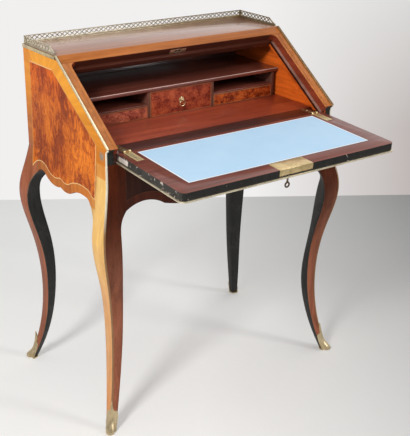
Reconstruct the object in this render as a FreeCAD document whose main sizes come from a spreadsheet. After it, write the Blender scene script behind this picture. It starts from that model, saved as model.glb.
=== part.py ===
import FreeCAD, Part
import math
import os
import re
import Sketcher
from FreeCAD import Placement, Rotation, Vector

# A slant-front writing desk on four cabriole legs, with its fall front let down.
# Millimetres. +Z is up, +Y points to the back and the floor is at Z = 0.
# The origin lies under the middle of the desk, measured with the fall open.

SIZES = {
    # Case: widths across X, depths from the back plane, heights from the floor
    "case_width": 694,
    "case_depth": 416,
    "top_height": 920,
    "top_depth": 174,
    "nose_height": 750,
    "side_thick": 20,
    "top_thick": 15,
    "floor_thick": 24,
    "back_thick": 12,
    "apron_thick": 20,
    "front_setback": 8,
    "nose_flat": 3,
    "cove_drop": 12,
    "cove_radius": 11,
    # Scalloped lower edges of the sides and aprons
    "arch_height": 588,
    "side_cusp_back": 173,
    "side_cusp_height": 584,
    "rear_arch_back": 95,
    "rear_arch_end": 591,
    "rear_arch_radius": 33,
    "rear_lobe_radius": 90,
    "front_ear_run": 19,
    "front_ear_height": 600,
    "front_ear_radius": 18,
    "front_arch_back": 240,
    "front_arch_end": 591,
    "front_arch_radius": 122,
    "front_lobe_radius": 71,
    "apron_arch_width": 107,
    "apron_arch_end": 585,
    "apron_arch_radius": 92,
    "apron_lobe_radius": 346,
    "apron_cusp_height": 580,
    # Cabriole legs: how far the outer arris stands out of the case planes, how thick the leg is through to
    # its inner corner, and how wide its side face and its front or back face are
    "leg_block": 200,
    "post_width": 52,
    "front_post_depth": 84,
    "rear_post_depth": 45,
    "shoulder_height": 656,
    "brow_height": 603,
    "brow_out": 11,
    "throat_height": 573,
    "throat_flush": 6,
    "throat_in": 32,
    "throat_reach": 38,
    "front_throat_reach": 64,
    "rear_throat_reach": 30,
    "knee_height": 532,
    "knee_out": 25,
    "front_knee_thick": 38,
    "rear_knee_thick": 41.5,
    "knee_flush": 20,
    "knee_reach": 25,
    "front_knee_reach": 42,
    "rear_knee_reach": 18,
    "shin_height": 395,
    "shin_out": 5.5,
    "front_shin_thick": 30.5,
    "rear_shin_thick": 38,
    "shin_side": 45,
    "shin_face": 40,
    "ankle_height": 235,
    "ankle_out": -9.5,
    "ankle_thick": 28,
    "ankle_side": 36,
    "ankle_face": 29,
    "pastern_height": 123,
    "pastern_out": -1.5,
    "pastern_thick": 22.5,
    "pastern_side": 31,
    "pastern_face": 22.5,
    "toe_height": 14,
    "toe_out": 22,
    "toe_thick": 16,
    "toe_side": 21,
    "toe_face": 18,
    "toe_slope": 0.35,
    "fillet_width": 3.6,
    "fillet_proud": 0.5,
    "sabot_height": 62,
    "sabot_wall": 1.8,
    "sole_thick": 3,
    "toe_ball_radius": 13,
    "toe_ball_offset": 20,
    # Slant-front opening
    "stile_width": 28.5,
    "stop_width": 9,
    "stop_thick": 15,
    "stop_gap": 0.5,
    "face_gap": 0.3,
    "rail_depth": 32,
    # Fall front
    "fall_thick": 19,
    "fall_droop": 2.9,
    "fall_clearance": 2,
    "fall_corner": 14,
    "hinge_gap": 0.3,
    "lip_thick": 3.5,
    "lip_overhang": 3.5,
    "lip_width": 11,
    "leather_thick": 1,
    "leather_side": 47,
    "leather_rear": 14,
    "edge_plate_length": 40,
    "edge_plate_height": 12,
    "edge_plate_thick": 1.5,
    "edge_plate_start": 9,
    # Strap hinges
    "hinge_inset": 26.5,
    "leaf_width": 20,
    "leaf_thick": 2,
    "floor_leaf": 52,
    "fall_leaf": 62,
    "knuckle_radius": 3.5,
    "knuckle_middle": 8,
    "knuckle_gap": 0.4,
    "pin_radius": 1.6,
    "pin_gap": 0.05,
    "screw_radius": 1.5,
    "screw_head_radius": 3.2,
    "screw_head_height": 1.6,
    "screw_length": 11,
    "screw_pitch": 15,
    "leaf_screws": 3,
    # Lock, let into the fall's inner face and front edge
    "lock_width": 100,
    "lock_depth": 43,
    "lock_plate_thick": 2,
    "lock_edge_height": 15,
    "lock_case_width": 64,
    "lock_case_height": 11,
    "lock_wall": 1.5,
    "bolt_width": 20,
    "bolt_height": 5,
    "bolt_length": 17,
    "bolt_throw": 8,
    "bolt_gap": 0.3,
    "key_setback": 28,
    "key_radius": 2.3,
    "key_gap": 0.3,
    "key_length": 44,
    "key_bit_length": 8,
    "key_bit_thick": 2,
    "key_bow_radius": 8.5,
    "key_bow_wire": 1.8,
    "escutcheon_radius": 9,
    "escutcheon_thick": 1.5,
    "strike_width": 50,
    "strike_height": 12,
    "strike_thick": 1.5,
    # Inner fitment and its drawers
    "fitment_depth": 193,
    "fitment_gap": 13,
    "panel_thick": 8,
    "tier_thick": 10,
    "tier_nosing": 3,
    "thin_shelf": 4,
    "centre_drawer_width": 193,
    "drawer_gap": 0.5,
    "drawer_depth": 172,
    "drawer_front": 10,
    "drawer_side": 6,
    "drawer_bottom": 4,
    "pull_boss_radius": 8,
    "pull_boss_thick": 2,
    "pull_post_width": 3.6,
    "pull_post_height": 6,
    "pull_post_reach": 6,
    "pull_ring_radius": 8,
    "pull_ring_wire": 1.3,
    "pull_eye_gap": 0.4,
    # Brass gallery and mouldings
    "gallery_height": 20,
    "gallery_thick": 2,
    "gallery_inset": 2,
    "gallery_base_height": 5,
    "gallery_base_width": 5,
    "gallery_rail_height": 2.5,
    "gallery_rail_width": 4,
    "gallery_front": 8,
    "gallery_slope": 28,
    "lattice_pitch": 14,
    "lattice_bar": 2,
    "lattice_margin": 0.5,
    "slant_strip_width": 7.5,
    "slant_strip_thick": 2.5,
    "slant_strip_proud": 2,
    "top_strip_height": 9,
    "top_strip_thick": 2.5,
}

DERIVED = {
    "slant_angle": "atan((top_height - nose_height) / (case_depth - top_depth))",
    "slant_length": "sqrt((top_height - nose_height) ^ 2 + (case_depth - top_depth) ^ 2)",
    "inner_half": "case_width / 2 - side_thick",
    "opening_half": "case_width / 2 - stile_width",
    "opening_length": "slant_length - top_thick / sin(slant_angle)",
    "opening_corner": "fall_corner + fall_clearance",
    "rebate_depth": "fall_thick + stop_gap",
    "top_under": "top_height - top_thick",
    "writing_height": "nose_height - fall_thick * cos(slant_angle)",
    "leg_top": "writing_height - floor_thick",
    "hinge_back": "case_depth - fall_thick * sin(slant_angle)",
    "fall_width": "2 * opening_half - 2 * fall_clearance",
    "fall_length": "opening_length - fall_clearance",
    "heel_gap": "(fall_thick + lip_thick) * sin(fall_droop) + hinge_gap",
    "hinge_offset": "fall_width / 2 - hinge_inset",
    "fall_reach": "(fall_length + lip_overhang) * cos(fall_droop) - fall_thick * sin(fall_droop)",
    "toe_reach": "toe_ball_offset + toe_ball_radius",
    "back_plane": "(hinge_back + fall_reach - toe_reach) / 2",
    "nose_y": "back_plane - case_depth",
    "hinge_y": "back_plane - hinge_back",
    "fitment_front": "back_thick + fitment_depth",
    "rail_rise": "(rebate_depth + stop_thick) * cos(slant_angle) + stop_width * sin(slant_angle)",
    "rail_under": "top_under - rail_rise",
    "tier_under": "(writing_height + rail_under) / 2",
    "thin_shelf_under": "(writing_height + tier_under - thin_shelf) / 2",
    "centre_drawer_height": "tier_under - writing_height - 2 * drawer_gap",
    "small_drawer_height": "thin_shelf_under - writing_height - 2 * drawer_gap",
    "divider_in": "centre_drawer_width / 2 + drawer_gap",
    "divider_out": "divider_in + panel_thick",
    "end_out": "inner_half - fitment_gap",
    "end_in": "end_out - panel_thick",
    "bolt_under": "lock_plate_thick + lock_wall + bolt_gap",
}

doc = FreeCAD.newDocument("slant_front_desk")
sheet = doc.addObject("Spreadsheet::Sheet", "Sizes")
for row, (alias, content) in enumerate(list(SIZES.items()) + list(DERIVED.items()), start=1):
    sheet.set(f"A{row}", alias)
    sheet.set(f"B{row}", str(content) if alias in SIZES else f"={content}")
    sheet.setAlias(f"B{row}", alias)
doc.recompute()

# The frames that pieces are placed in: each one's turn about X, and its origin's Y and Z.
# The slant frame starts at the nose and runs up the slope. The hinge and fall frames start on the hinge
# axis: the first lies level with the floor board, the second with the fall.
FRAMES = {
    "case": ("0", "back_plane", "0"),
    "slant": ("slant_angle", "nose_y", "nose_height"),
    "hinge": ("0", "hinge_y", "writing_height"),
    "fall": ("fall_droop", "hinge_y", "writing_height"),
}

nodes = []


def formula(text):
    """Point each size named in a formula at its cell in the sheet."""

    def cell(match):
        word = match.group()
        return f"Sizes.{word}" if word in SIZES or word in DERIVED else word

    return re.sub(r"[a-z_]+", cell, text)


def value(text):
    """The number that a formula of sizes comes to."""
    result = sheet.evalExpression(formula(text))
    return float(getattr(result, "Value", result))


def place(piece, at, frame="case", turn=None):
    """Bind a piece's place to the sheet; turn is a fixed turn of its own, kept before the frame's."""
    angle, base_y, base_z = FRAMES[frame]
    x, y, z = at
    if turn is not None:
        piece.Placement = Placement(Vector(), turn)
    elif angle != "0":
        piece.Placement = Placement(Vector(), Rotation(Vector(1, 0, 0), value(angle)))
        piece.setExpression("Placement.Rotation.Angle", formula(angle))
    back = f"({y}) * cos({angle}) - ({z}) * sin({angle})"
    up = f"({y}) * sin({angle}) + ({z}) * cos({angle})"
    piece.setExpression("Placement.Base.x", formula(x))
    piece.setExpression("Placement.Base.y", formula(f"{base_y} + {back}"))
    piece.setExpression("Placement.Base.z", formula(f"{base_z} + {up}"))
    return piece


def keep(piece):
    """Count a finished piece among the sub-parts."""
    nodes.append(piece)
    return piece


def board(name, size, at, frame="case"):
    """A rectangular board, from its lowest corner."""
    piece = doc.addObject("Part::Box", name)
    for side, text in zip(("Length", "Width", "Height"), size):
        piece.setExpression(side, formula(text))
    return place(piece, at, frame)


def rod(name, radius, length, at, frame="case", along="Z"):
    """A round rod along X, Y or the frame's own normal, from the middle of its first end."""
    piece = doc.addObject("Part::Cylinder", name)
    piece.setExpression("Radius", formula(radius))
    piece.setExpression("Height", formula(length))
    turns = {"X": Rotation(Vector(0, 1, 0), 90), "Y": Rotation(Vector(1, 0, 0), -90), "Z": None}
    return place(piece, at, frame, turns[along])


def join(name, *pieces):
    """Pieces made as one solid."""
    piece = doc.addObject("Part::MultiFuse", name)
    piece.Shapes = pieces
    piece.Refine = True
    return piece


def cut(name, base, *tools):
    """A piece less the tools."""
    piece = doc.addObject("Part::Cut", name)
    piece.Base = base
    piece.Tool = tools[0] if len(tools) == 1 else join(name + "_tools", *tools)
    return piece


def group(name, *pieces):
    """Like pieces that stay separate solids under one name."""
    piece = doc.addObject("Part::Compound", name)
    piece.Links = pieces
    return piece


def arc_middle(start, stop, radius, side):
    """The middle of an arc between two points that bulges to the left (1) or right (-1) of its way."""
    chord = stop - start
    sagitta = radius - math.sqrt(radius ** 2 - (chord.Length / 2) ** 2)
    left = Vector(-chord.y, chord.x, 0).normalize()
    return (start + stop) / 2 + left * (sagitta * side)


def hold(sketch, edge, end, direction, axis, text):
    """Fix one coordinate of a corner to a formula, or to the axis where it is nought."""
    if text == "0":
        sketch.addConstraint(Sketcher.Constraint("PointOnObject", edge, end, axis))
        return
    index = sketch.addConstraint(Sketcher.Constraint(direction, -1, 1, edge, end, value(text)))
    sketch.setExpression(f"Constraints[{index}]", formula(text))


def sawn(name, plane, corners, thick, at, frame="case"):
    """A board sawn to an outline. A corner is (across, up), or (across, up, radius, side) before an arc."""
    body = doc.addObject("PartDesign::Body", name)
    sketch = body.newObject("Sketcher::SketchObject", name + "_outline")
    support = [feature for feature in body.Origin.OriginFeatures if feature.Role == plane][0]
    sketch.AttachmentSupport = [(support, "")]
    sketch.MapMode = "FlatFace"
    points = [Vector(value(corner[0]), value(corner[1]), 0) for corner in corners]
    edges = []
    for index, corner in enumerate(corners):
        start = points[index]
        stop = points[(index + 1) % len(points)]
        if len(corner) == 2:
            edge = sketch.addGeometry(Part.LineSegment(start, stop))
        else:
            middle = arc_middle(start, stop, value(corner[2]), corner[3])
            edge = sketch.addGeometry(Part.ArcOfCircle(start, middle, stop))
        first, last = (sketch.getPoint(edge, end).distanceToPoint(start) for end in (1, 2))
        edges.append((edge, 1, 2) if first < last else (edge, 2, 1))
    for index, corner in enumerate(corners):
        edge, first, last = edges[index]
        before = edges[index - 1]
        sketch.addConstraint(Sketcher.Constraint("Coincident", before[0], before[2], edge, first))
        hold(sketch, edge, first, "DistanceX", -2, corner[0])
        hold(sketch, edge, first, "DistanceY", -1, corner[1])
        if len(corner) > 2:
            radius = sketch.addConstraint(Sketcher.Constraint("Radius", edge, value(corner[2])))
            sketch.setExpression(f"Constraints[{radius}]", formula(corner[2]))
    doc.recompute()
    pad = body.newObject("PartDesign::Pad", name + "_pad")
    pad.Profile = sketch
    pad.setExpression("Length", formula(thick))
    return place(body, at, frame)


def both_sides(inner, outer):
    """The two sides of the desk, with the lowest X of a piece between two distances from the middle."""
    return (("left", -1, f"-({outer})"), ("right", 1, inner))


def make_sides():
    """Side boards: slanted front edge, cove under the nose, notches for the leg posts, scalloped foot."""
    corners = [
        ("case_depth - rear_post_depth", "arch_height"),
        ("case_depth - rear_post_depth", "leg_top"),
        ("case_depth", "leg_top"),
        ("case_depth", "top_under"),
        ("case_depth - top_depth - top_thick / tan(slant_angle)", "top_under"),
        ("0", "nose_height"),
        ("0", "nose_height - nose_flat", "cove_radius", 1),
        ("front_setback", "nose_height - nose_flat - cove_drop"),
        ("front_setback", "leg_top"),
        ("front_setback + front_post_depth", "leg_top"),
        ("front_setback + front_post_depth", "arch_height", "front_ear_radius", 1),
        ("front_setback + front_post_depth + front_ear_run", "front_ear_height", "front_arch_radius", 1),
        ("case_depth - front_arch_back", "front_arch_end", "front_lobe_radius", -1),
        ("case_depth - side_cusp_back", "side_cusp_height", "rear_lobe_radius", -1),
        ("case_depth - rear_arch_back", "rear_arch_end", "rear_arch_radius", 1),
    ]
    for side, _, low in both_sides("inner_half", "case_width / 2"):
        keep(sawn(f"side_{side}", "YZ_Plane", corners, "side_thick", (low, "-case_depth", "0")))


def make_aprons():
    """Front and back aprons between the leg posts, with a cusp at the middle of the scalloped edge."""
    span = "(case_width - 2 * post_width)"
    corners = [
        ("0", "arch_height", "apron_arch_radius", 1),
        ("apron_arch_width", "apron_arch_end", "apron_lobe_radius", -1),
        (f"{span} / 2", "apron_cusp_height", "apron_lobe_radius", -1),
        (f"{span} - apron_arch_width", "apron_arch_end", "apron_arch_radius", 1),
        (span, "arch_height"),
        (span, "leg_top"),
        ("0", "leg_top"),
    ]
    rear_faces = {"front_apron": "front_setback + apron_thick - case_depth", "back_apron": "0"}
    for name, rear_face in rear_faces.items():
        keep(sawn(name, "XZ_Plane", corners, "apron_thick", (f"-{span} / 2", rear_face, "0")))


def make_boards():
    """Top board with its front edge bevelled on the slant, and the back panel."""
    bevel = "top_thick / tan(slant_angle)"
    corners = [
        ("0", "0"),
        (f"top_depth + {bevel}", "0"),
        (f"top_depth + {bevel}", "top_thick"),
        (bevel, "top_thick"),
    ]
    at = ("-case_width / 2", f"-top_depth - {bevel}", "top_under")
    keep(sawn("top_board", "YZ_Plane", corners, "case_width", at))
    size = ("2 * inner_half", "back_thick", "top_under - leg_top")
    keep(board("back_panel", size, ("-inner_half", "-back_thick", "leg_top")))


def spline(points):
    """A smooth curve from the top down, with the depth below its first point as its parameter."""
    curve = Part.BSplineCurve()
    curve.interpolate(Points=points, Parameters=[points[0].z - point.z for point in points])
    return curve


def leg_corners(end, grow):
    """The four corner lines of a front or rear leg, as splines from the top down, moved outwards by grow.

    x is measured out of the case's side, and y out of its front or back."""
    lines = {
        "arris": [
            ("0", "0", "shoulder"),
            ("brow_out", "brow_out", "brow"),
            ("knee_out", "knee_out", "knee"),
        ],
        "side_edge": [
            ("0", f"-{end}_post_depth", "arch"),
            ("throat_flush", f"-{end}_throat_reach", "throat"),
            ("knee_flush", f"-{end}_knee_reach", "knee"),
        ],
        "inner": [
            ("-post_width", f"-{end}_post_depth", "arch"),
            ("-throat_in", "-throat_in", "throat"),
            (f"knee_out - {end}_knee_thick", f"knee_out - {end}_knee_thick", "knee"),
        ],
        "face_edge": [
            ("-post_width", "0", "arch"),
            ("-throat_reach", "throat_flush", "throat"),
            ("-knee_reach", "knee_flush", "knee"),
        ],
    }
    for name in ("shin", "ankle", "pastern", "toe"):
        thick = f"{end}_shin_thick" if name == "shin" else f"{name}_thick"
        out, inside = f"{name}_out", f"{name}_out - {thick}"
        lines["arris"].append((out, out, name))
        lines["side_edge"].append((out, f"{out} - {name}_side", name))
        lines["inner"].append((inside, inside, name))
        lines["face_edge"].append((f"{out} - {name}_face", out, name))
    outwards = {"arris": (1, 1), "side_edge": (1, -1), "inner": (-1, -1), "face_edge": (-1, 1)}
    corners = {}
    for name, points in lines.items():
        shift = Vector(*outwards[name], 0) * grow
        corners[name] = spline(
            [Vector(value(x), value(y), value(f"{level}_height")) + shift for x, y, level in points]
        )
    return corners


def leg_solid(end, grow, top):
    """A leg's solid: ruled faces between its four corner lines, with a straight post above the arch."""
    shoulder = value("shoulder_height")
    arch_depth = shoulder - value("arch_height")
    run_out = Vector(value("toe_slope"), value("toe_slope"), -1) * value("toe_height")
    columns = []
    for name, curve in leg_corners(end, grow).items():
        begin = arch_depth if name == "arris" else 0
        joint = curve.value(begin)
        start = curve.StartPoint if name == "arris" else Vector(joint.x, joint.y, shoulder)
        brow = curve.toShape(0, begin) if name == "arris" else Part.LineSegment(start, joint).toShape()
        post = Part.LineSegment(Vector(start.x, start.y, top), start).toShape()
        lower = curve.toShape(begin, curve.LastParameter)
        heel = Part.LineSegment(curve.EndPoint, curve.EndPoint + run_out).toShape()
        columns.append((post, brow, lower, heel))
    faces = []
    for first, second in zip(columns, columns[1:] + columns[:1]):
        faces += [Part.makeRuledSurface(a, b) for a, b in zip(first, second)]
    top_points = [column[0].Vertexes[0].Point for column in columns]
    sole_points = [column[-1].Vertexes[1].Point for column in columns]
    faces += [Part.Face(Part.makePolygon(points + points[:1])) for points in (top_points, sole_points)]
    shell = Part.makeShell(faces)
    shell.sewShape()
    solid = Part.makeSolid(shell)
    if solid.Volume < 0:
        solid.reverse()
    return solid


def arris_profile(shift):
    """The outer arris of a leg seen square on, as a spline from the top down, moved outwards by shift."""
    points = [Vector(shift, 0, value("shoulder_height"))]
    for name in ("brow", "knee", "shin", "ankle", "pastern", "toe"):
        points.append(Vector(value(f"{name}_out") + shift, 0, value(f"{name}_height")))
    return spline(points)


def crossed(outer, inner, top):
    """What two like prisms at right angles share: a shape sawn to one outline on both faces.

    outer and inner are curves from the top down, and top is the height of the straight post above them.
    Below its last station each runs on along the toe's slope to the floor."""
    wide = value("leg_block")
    run_out = Vector(value("toe_slope"), 0, -1) * value("toe_height")
    points = [
        Vector(outer.StartPoint.x, 0, top),
        outer.StartPoint,
        outer.EndPoint,
        outer.EndPoint + run_out,
        inner.EndPoint + run_out,
        inner.EndPoint,
        inner.StartPoint,
        Vector(inner.StartPoint.x, 0, top),
    ]
    curves = {1: outer, 5: inner}
    edges = []
    for index, point in enumerate(points):
        straight = Part.LineSegment(point, points[(index + 1) % len(points)])
        edges.append(curves.get(index, straight).toShape())
    face = Part.Face(Part.Wire(Part.__sortEdges__(edges)))
    face.translate(Vector(0, -wide / 2, 0))
    prism = face.extrude(Vector(0, wide, 0))
    return prism.common(prism.mirror(Vector(), Vector(1, -1, 0)))


def level_slab(low, high):
    """All that lies between two heights, wide enough for any leg."""
    wide = value("leg_block")
    return Part.makeBox(wide, wide, high - low, Vector(-wide / 2, -wide / 2, low))


def make_legs():
    """Legs, their brass sabots and, on the front legs, a brass fillet let into the outer arris."""
    top = value("leg_top")
    sabot_top = value("sabot_height")
    arris_in = arris_profile(-value("fillet_width"))
    arris_out = arris_profile(value("fillet_proud"))
    fillet = crossed(arris_out, arris_in, top).common(level_slab(sabot_top, top))
    ball_middle = Vector(value("toe_ball_offset"), value("toe_ball_offset"), value("toe_ball_radius"))
    ball = Part.makeSphere(value("toe_ball_radius"), ball_middle)
    turns = {"rear": 0, "front": 180}
    depths = {"rear": "0", "front": "front_setback - case_depth"}
    for end, turn in turns.items():
        wood = leg_solid(end, 0, top).common(level_slab(value("sole_thick"), top))
        shoe = leg_solid(end, value("sabot_wall"), top).common(level_slab(0, sabot_top))
        shapes = {"leg": wood, "sabot": shoe.fuse(ball).cut(wood).removeSplitter()}
        if end == "front":
            shapes["leg"] = wood.cut(fillet)
            shapes["fillet"] = fillet
        for side, out in (("left", -1), ("right", 1)):
            handed = (end == "rear") != (side == "right")
            for kind, shape in shapes.items():
                piece = doc.addObject("Part::Feature", f"{kind}_{end}_{side}")
                piece.Shape = shape.mirror(Vector(), Vector(1, 0, 0)) if handed else shape
                at = (f"{out} * case_width / 2", depths[end], "0")
                keep(place(piece, at, turn=Rotation(Vector(0, 0, 1), turn)))


def make_top_rail():
    """Rail under the top: its rebate takes the fall's upper edge, and its ledge stops the fall."""
    rebate = "rebate_depth * sin(slant_angle)"
    ledge = f"{rebate} - stop_width * cos(slant_angle)"
    corners = [
        ("0", "rail_rise"),
        (rebate, "rail_rise - rebate_depth * cos(slant_angle)"),
        (ledge, "stop_thick * cos(slant_angle)"),
        (f"{ledge} + stop_thick * sin(slant_angle)", "0"),
        ("rail_depth", "0"),
        ("rail_depth", "rail_rise"),
    ]
    at = ("-inner_half", "-top_depth - top_thick / tan(slant_angle)", "rail_under")
    return sawn("rail_blank", "YZ_Plane", corners, "2 * inner_half", at)


def make_strike(rail):
    """Strike plate let into the rail's rebate, and the mortise behind it that takes the bolt."""
    middle = "-fall_thick + bolt_under + bolt_height / 2"
    size = ("strike_width", "strike_thick", "strike_height")
    at = ("-strike_width / 2", "opening_length", f"{middle} - strike_height / 2")
    blank = board("strike_blank", size, at, "slant")
    wide = "bolt_width + 4 * bolt_gap"
    high = "bolt_height + 4 * bolt_gap"
    deep = "bolt_throw + 2 * bolt_gap"
    at = (f"-({wide}) / 2", "opening_length", f"{middle} - ({high}) / 2")
    mortise = board("strike_mortise", (wide, deep, high), at, "slant")
    keep(cut("strike_plate", blank, mortise))
    keep(cut("slant_top_rail", rail, blank, mortise))


def make_stiles(rail):
    """Stile linings beside the fall, each with its stop ledge and the rounded upper corner."""
    depth = "(rebate_depth - face_gap)"
    clear = board(
        "opening_height",
        ("case_width", "case_depth", "top_under - writing_height"),
        ("-case_width / 2", "-case_depth", "writing_height"),
    )
    for side, sign, low in both_sides("opening_half", "inner_half"):
        size = ("inner_half - opening_half", "opening_length", depth)
        face = board(f"stile_face_{side}", size, (low, "0", "-rebate_depth"), "slant")
        ledge_low = "opening_half - stop_width" if sign > 0 else "-inner_half"
        size = ("inner_half - opening_half + stop_width", "opening_length", "stop_thick")
        ledge = board(f"stile_ledge_{side}", size, (ledge_low, "0", "-rebate_depth - stop_thick"), "slant")
        block_low = "opening_half - opening_corner" if sign > 0 else "-opening_half"
        size = ("opening_corner", "opening_corner", depth)
        at = (block_low, "opening_length - opening_corner", "-rebate_depth")
        block = board(f"stile_block_{side}", size, at, "slant")
        at = (f"{sign} * (opening_half - opening_corner)", at[1], at[2])
        hollow = rod(f"stile_hollow_{side}", "opening_corner", depth, at, "slant")
        whole = join(f"stile_whole_{side}", face, ledge, cut(f"stile_corner_{side}", block, hollow))
        between = doc.addObject("Part::Common", f"stile_between_{side}")
        between.Base = whole
        between.Tool = clear
        keep(cut(f"stile_{side}", between, rail))


def make_fitment():
    """Tier shelf, end panels, dividers and the thin shelves over the small drawers."""
    size = ("2 * inner_half", "fitment_depth + tier_nosing", "tier_thick")
    keep(board("tier_shelf", size, ("-inner_half", "-fitment_front - tier_nosing", "tier_under")))
    uprights = {"fitment_end": ("end_in", "end_out"), "divider": ("divider_in", "divider_out")}
    size = ("panel_thick", "fitment_depth", "tier_under - writing_height")
    for name, (inner, outer) in uprights.items():
        pair = [
            board(f"{name}_{side}", size, (low, "-fitment_front", "writing_height"))
            for side, _, low in both_sides(inner, outer)
        ]
        keep(group(f"{name}s", *pair))
    size = ("end_in - divider_out", "fitment_depth", "thin_shelf")
    pair = [
        board(f"pigeonhole_shelf_{side}", size, (low, "-fitment_front", "thin_shelf_under"))
        for side, _, low in both_sides("divider_out", "end_in")
    ]
    keep(group("pigeonhole_shelves", *pair))


def make_drawer(name, low, width, height):
    """A drawer: front, two sides, a back between them and a bottom."""
    floor = "writing_height + drawer_gap"
    front_back = "drawer_front - fitment_front"
    side_length = "(drawer_depth - drawer_front)"
    keep(board(f"{name}_front", (width, "drawer_front", height), (low, "-fitment_front", floor)))
    size = ("drawer_side", side_length, height)
    left = board(f"{name}_side_left", size, (low, front_back, floor))
    right = board(f"{name}_side_right", size, (f"{low} + {width} - drawer_side", front_back, floor))
    keep(group(f"{name}_sides", left, right))
    inside = f"{width} - 2 * drawer_side"
    start = f"{low} + drawer_side"
    at = (start, "drawer_depth - drawer_side - fitment_front", floor)
    keep(board(f"{name}_back", (inside, "drawer_side", height), at))
    size = (inside, f"{side_length} - drawer_side", "drawer_bottom")
    keep(board(f"{name}_bottom", size, (start, front_back, floor)))


def make_drawers():
    """The centre drawer and the two low drawers beside it."""
    small_width = "end_in - divider_out - 2 * drawer_gap"
    for side, _, low in both_sides("divider_out + drawer_gap", "end_in - drawer_gap"):
        make_drawer(f"drawer_{side}", low, small_width, "small_drawer_height")
    make_drawer("drawer_centre", "-centre_drawer_width / 2", "centre_drawer_width", "centre_drawer_height")


def make_ring_pull():
    """Boss with an eye on the centre drawer's front, and the ring that hangs in it."""
    middle = "writing_height + drawer_gap + centre_drawer_height / 2"
    face = "-fitment_front - pull_boss_thick"
    half = "pull_post_width / 2"
    boss = rod("pull_plate", "pull_boss_radius", "pull_boss_thick", ("0", face, middle), along="Y")
    size = ("pull_post_width", "pull_post_reach", "pull_post_height")
    at = (f"-{half}", f"{face} - pull_post_reach", f"{middle} - pull_post_height / 2")
    post = board("pull_post", size, at)
    eye_y = f"{face} - pull_post_reach / 2"
    eye_radius = "pull_ring_wire + pull_eye_gap"
    eye = rod("pull_eye", eye_radius, "pull_post_width", (f"-{half}", eye_y, middle), along="X")
    keep(cut("pull_boss", join("pull_boss_whole", boss, post), eye))
    ring = doc.addObject("Part::Torus", "pull_ring")
    ring.setExpression("Radius1", formula("pull_ring_radius"))
    ring.setExpression("Radius2", formula("pull_ring_wire"))
    keep(place(ring, ("0", eye_y, f"{middle} - pull_ring_radius"), turn=Rotation(Vector(1, 0, 0), 90)))


def make_screw(name, x, y, frame):
    """A countersunk wood screw, its head level with the leaf."""
    shank = rod(f"{name}_shank", "screw_radius", "screw_length", (x, y, "-screw_length"), frame)
    head = doc.addObject("Part::Cone", f"{name}_head")
    head.setExpression("Radius1", formula("screw_radius"))
    head.setExpression("Radius2", formula("screw_head_radius"))
    head.setExpression("Height", formula("screw_head_height"))
    place(head, (x, y, "-screw_head_height"), frame)
    return join(name, shank, head)


def make_leaf(name, x, way, length, frame, knuckles, screws):
    """A hinge leaf: plate, tabs and knuckles. way is 1 towards the back and -1 towards the front."""
    start = "knuckle_radius + knuckle_gap"
    low = start if way > 0 else f"-({length})"
    size = ("leaf_width", f"{length} - ({start})", "leaf_thick")
    parts = [board(f"{name}_plate", size, (f"{x} - leaf_width / 2", low, "-leaf_thick"), frame)]
    for index, (first, long) in enumerate(knuckles):
        tab_low = "0" if way > 0 else f"-({start})"
        at = (f"{x} + {first}", tab_low, "-leaf_thick")
        parts.append(board(f"{name}_tab_{index}", (long, start, "leaf_thick"), at, frame))
        at = (f"{x} + {first}", "0", "0")
        parts.append(rod(f"{name}_knuckle_{index}", "knuckle_radius", long, at, frame, along="X"))
    at = (f"{x} - leaf_width / 2", "0", "0")
    bore = rod(f"{name}_bore", "pin_radius + pin_gap", "leaf_width", at, frame, along="X")
    return keep(cut(name, join(f"{name}_whole", *parts), bore, *screws))


def make_hinges():
    """Two strap hinges let in flush: a leaf on the floor, a leaf on the fall, and the pin between them.

    Gives the screws and the room that the floor board and the fall panel leave for all of it."""
    middle = [("-knuckle_middle / 2", "knuckle_middle")]
    side_long = "leaf_width / 2 - knuckle_middle / 2 - knuckle_gap"
    outside = [("-leaf_width / 2", side_long), ("knuckle_middle / 2 + knuckle_gap", side_long)]
    leaves = {
        "floor": ("hinge", 1, "floor_leaf", middle),
        "fall": ("fall", -1, "fall_leaf", outside),
    }
    room = {"floor": [], "fall": []}
    screws = {"floor": [], "fall": []}
    pins = []
    for side, sign in (("left", -1), ("right", 1)):
        x = f"{sign} * hinge_offset"
        edge = f"{x} - leaf_width / 2"
        for kind, (frame, way, length, knuckles) in leaves.items():
            held = []
            for number in range(int(value("leaf_screws"))):
                spot = f"{way} * ({length} - {number} * screw_pitch - screw_pitch / 2)"
                held.append(make_screw(f"screw_{kind}_{side}_{number}", x, spot, frame))
            make_leaf(f"hinge_{side}_{kind}_leaf", x, way, length, frame, knuckles, held)
            screws[kind] += held
            size = ("leaf_width", length, "leaf_thick")
            at = (edge, "0" if way > 0 else f"-{length}", "-leaf_thick")
            room[kind].append(board(f"leaf_room_{kind}_{side}", size, at, frame))
            radius = "knuckle_radius + knuckle_gap"
            long = "leaf_width + 2 * knuckle_gap"
            at = (f"{edge} - knuckle_gap", "0", "0")
            room[kind].append(rod(f"knuckle_room_{kind}_{side}", radius, long, at, frame, along="X"))
        at = (edge, "0", "0")
        pins.append(rod(f"hinge_pin_{side}", "pin_radius", "leaf_width", at, "hinge", along="X"))
    keep(group("hinge_pins", *pins))
    keep(group("hinge_floor_screws", *screws["floor"]))
    keep(group("hinge_fall_screws", *screws["fall"]))
    return room["floor"] + screws["floor"], room["fall"] + screws["fall"]


def make_floor(room):
    """Floor board of the desk, at writing height, from the back panel to the hinge axis."""
    size = ("2 * inner_half", "hinge_back - back_thick", "floor_thick")
    blank = board("floor_blank", size, ("-inner_half", "-hinge_back", "leg_top"))
    keep(cut("floor_board", blank, *room))


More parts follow.
